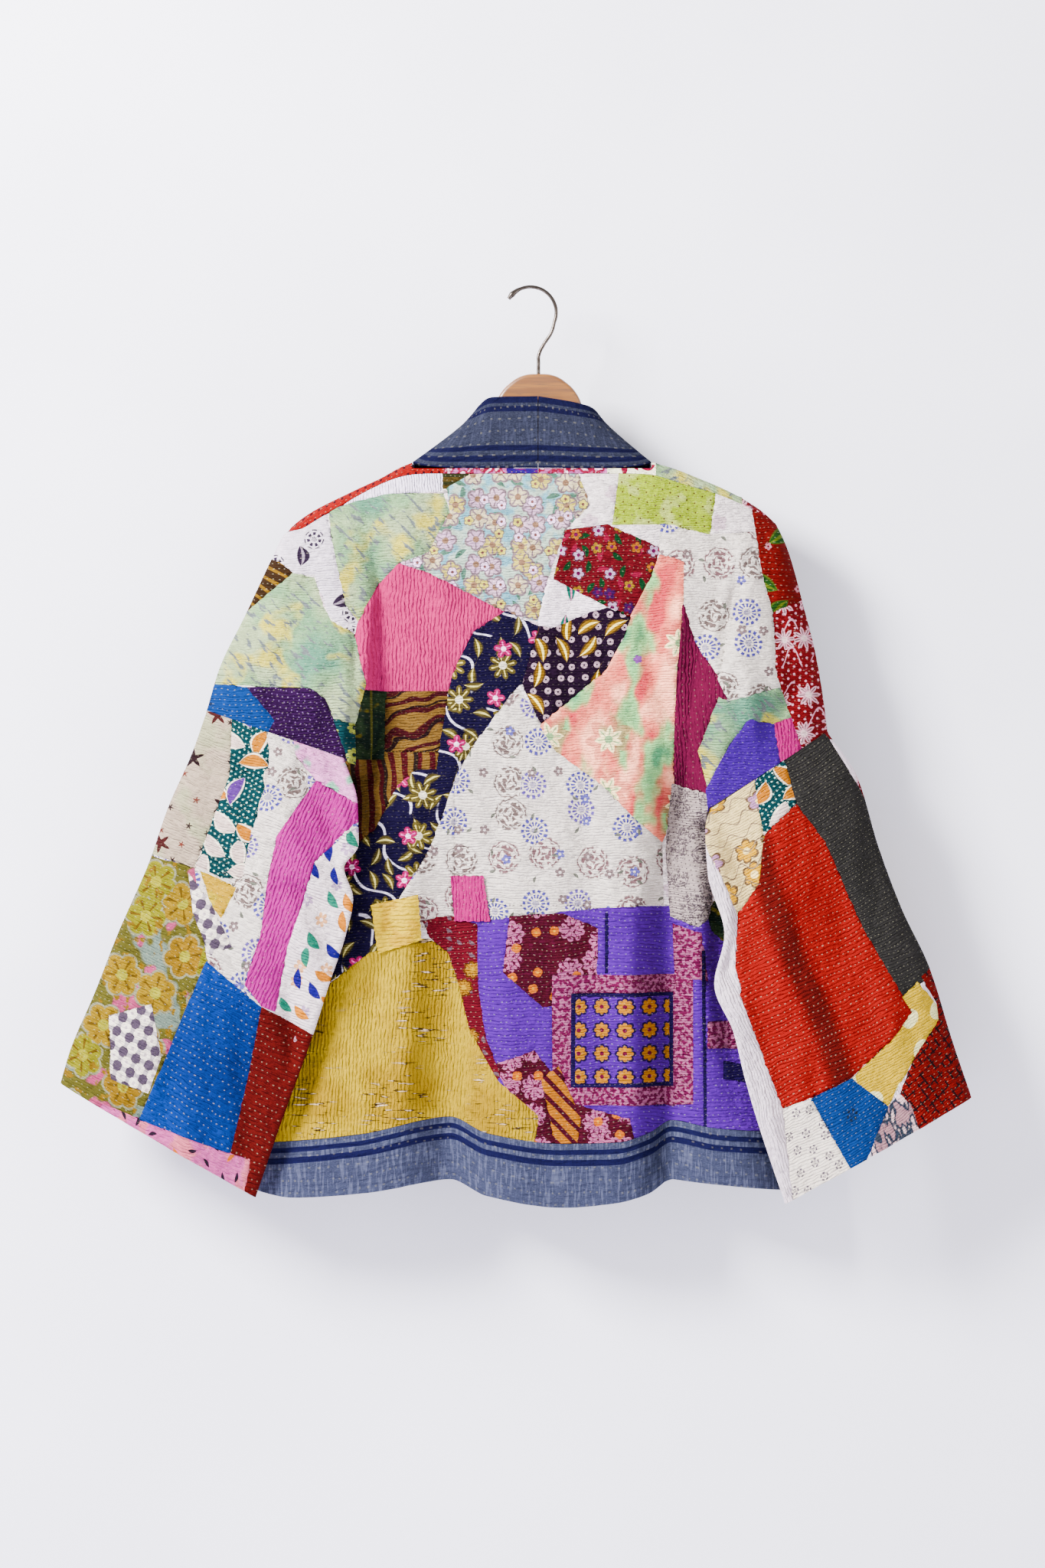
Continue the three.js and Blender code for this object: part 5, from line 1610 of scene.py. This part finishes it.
left, right = sides["left"], sides["right"]
back = makeBack()
sleeveLeft = makeSleeve("sleeveLeft", left, leftSleevePatches, leftSleeveFront, leftSleeveCreases, 3)
sleeveRight = makeSleeve("sleeveRight", right, rightSleevePatches, rightSleeveFront, rightSleeveCreases, 4)
frontLeft = makeFront("frontLeft", left, leftFrontPatches, 5)
frontRight = makeFront("frontRight", right, rightFrontPatches, 6)
print("cut and hung the panels")
collarLeft = makeNeckband("collarLeft", left, bandLeft, 7)
collarRight = makeNeckband("collarRight", right, bandRight, 8)
hemBack = makeBackHem()
hemFrontLeft = makeFrontHem("hemFrontLeft", left)
hemFrontRight = makeFrontHem("hemFrontRight", right)
yellowSquare = makeSquare("patchYellow", square["yellow"], "softYellow")
pinkSquare = makeSquare("patchPink", square["pink"], "brightPink")
print("sewed on bands and squares")
wood = makeHangerWood()
hook = makeHook()

# which solid each piece stands for, and the finish it takes
standsFor = [
    (back, "back_panel", "quilt"), (frontLeft, "front_left", "quilt"), (frontRight, "front_right", "quilt"),
    (sleeveLeft, "sleeve_left", "quilt"), (sleeveRight, "sleeve_right", "quilt"),
    (collarLeft, "collar_left", "handloom"), (collarRight, "collar_right", "handloom"),
    (hemBack, "hem_back", "handloom"), (hemFrontLeft, "hem_front_left", "handloom"),
    (hemFrontRight, "hem_front_right", "handloom"), (yellowSquare, "patch_yellow", "square_yellow"),
    (pinkSquare, "patch_pink", "square_pink"), (wood, "hanger_wood", "wood"), (hook, "hanger_hook", "steel"),
]
for piece, node, slot in standsFor:
    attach(piece, "root")
    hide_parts(node)

room = {
    "wallY": 0.062, "floorZ": -1.3, "paint": (236, 236, 238), "paintCloud": (228, 228, 231), "size": 6,
    "height": 4, "aimZ": -0.45,
    "key": {"at": (-1.8, -1.7, 0.9), "size": 0.9, "power": 480},
    "fill": {"at": (1.9, -2.0, -0.2), "size": 2.2, "power": 60},
    "world": 1.0,
}


def paintMaterial(name, seeThroughBack):
    material, tree, shader = newMaterial(name)
    place = put(tree, "TexCoord").outputs["Object"]
    colour = lay(tree, grain(tree, place, 2.2, 3), dye(*room["paint"]), dye(*room["paintCloud"]))
    fill(tree, shader, {"Base Color": colour, "Roughness": 0.9})
    bumped(tree, shader, grain(tree, place, 190, 3), 0.08, 0.001)
    if seeThroughBack:  # from behind, the wall doesn't hide the jacket
        clear = put(tree, "BsdfTransparent")
        choose = put(tree, "MixShader")
        behind = put(tree, "NewGeometry").outputs["Backfacing"]
        fill(tree, choose, {0: behind, 1: shader.outputs[0], 2: clear.outputs[0]})
        fill(tree, tree.nodes["Material Output"], {0: choose.outputs[0]})
    return material


def makePlane(name, corners, material):
    mesh = bpy.data.meshes.new(name)
    mesh.from_pydata(corners, [], [(0, 1, 2, 3)])
    mesh.materials.append(material)
    hangUp(name, mesh)


s, y, z, top = room["size"] / 2, room["wallY"], room["floorZ"], room["floorZ"] + room["height"]
makePlane("wall", [(-s, y, z), (s, y, z), (s, y, top), (-s, y, top)], paintMaterial("wallPaint", True))
makePlane("floor", [(-s, -s, z), (s, -s, z), (s, s, z), (-s, s, z)], paintMaterial("floorPaint", False))

for name in ("key", "fill"):
    spec = room[name]
    data = bpy.data.lights.new(name, "AREA")
    data.energy = spec["power"]
    data.size = spec["size"]
    lamp = hangUp(name, data)
    lamp.location = spec["at"]
    lamp.visible_camera = False
    aim = Vector((0, 0, room["aimZ"])) - Vector(spec["at"])
    lamp.rotation_euler = aim.to_track_quat("-Z", "Y").to_euler()

world = bpy.data.worlds.new("softRoom")
world.use_nodes = True
fill(world.node_tree, world.node_tree.nodes["Background"], {"Color": (1, 1, 1, 1), "Strength": room["world"]})
bpy.context.scene.world = world

view = {"x": -0.0086, "z": -0.450, "distance": 4.8, "clothY": -0.04, "lens": 122.3}
camera = hangUp("camera", bpy.data.cameras.new("camera"))
camera.data.lens = view["lens"]
camera.location = (view["x"], view["clothY"] - view["distance"], view["z"])
camera.rotation_euler = (upright, 0, 0)
bpy.context.scene.camera = camera
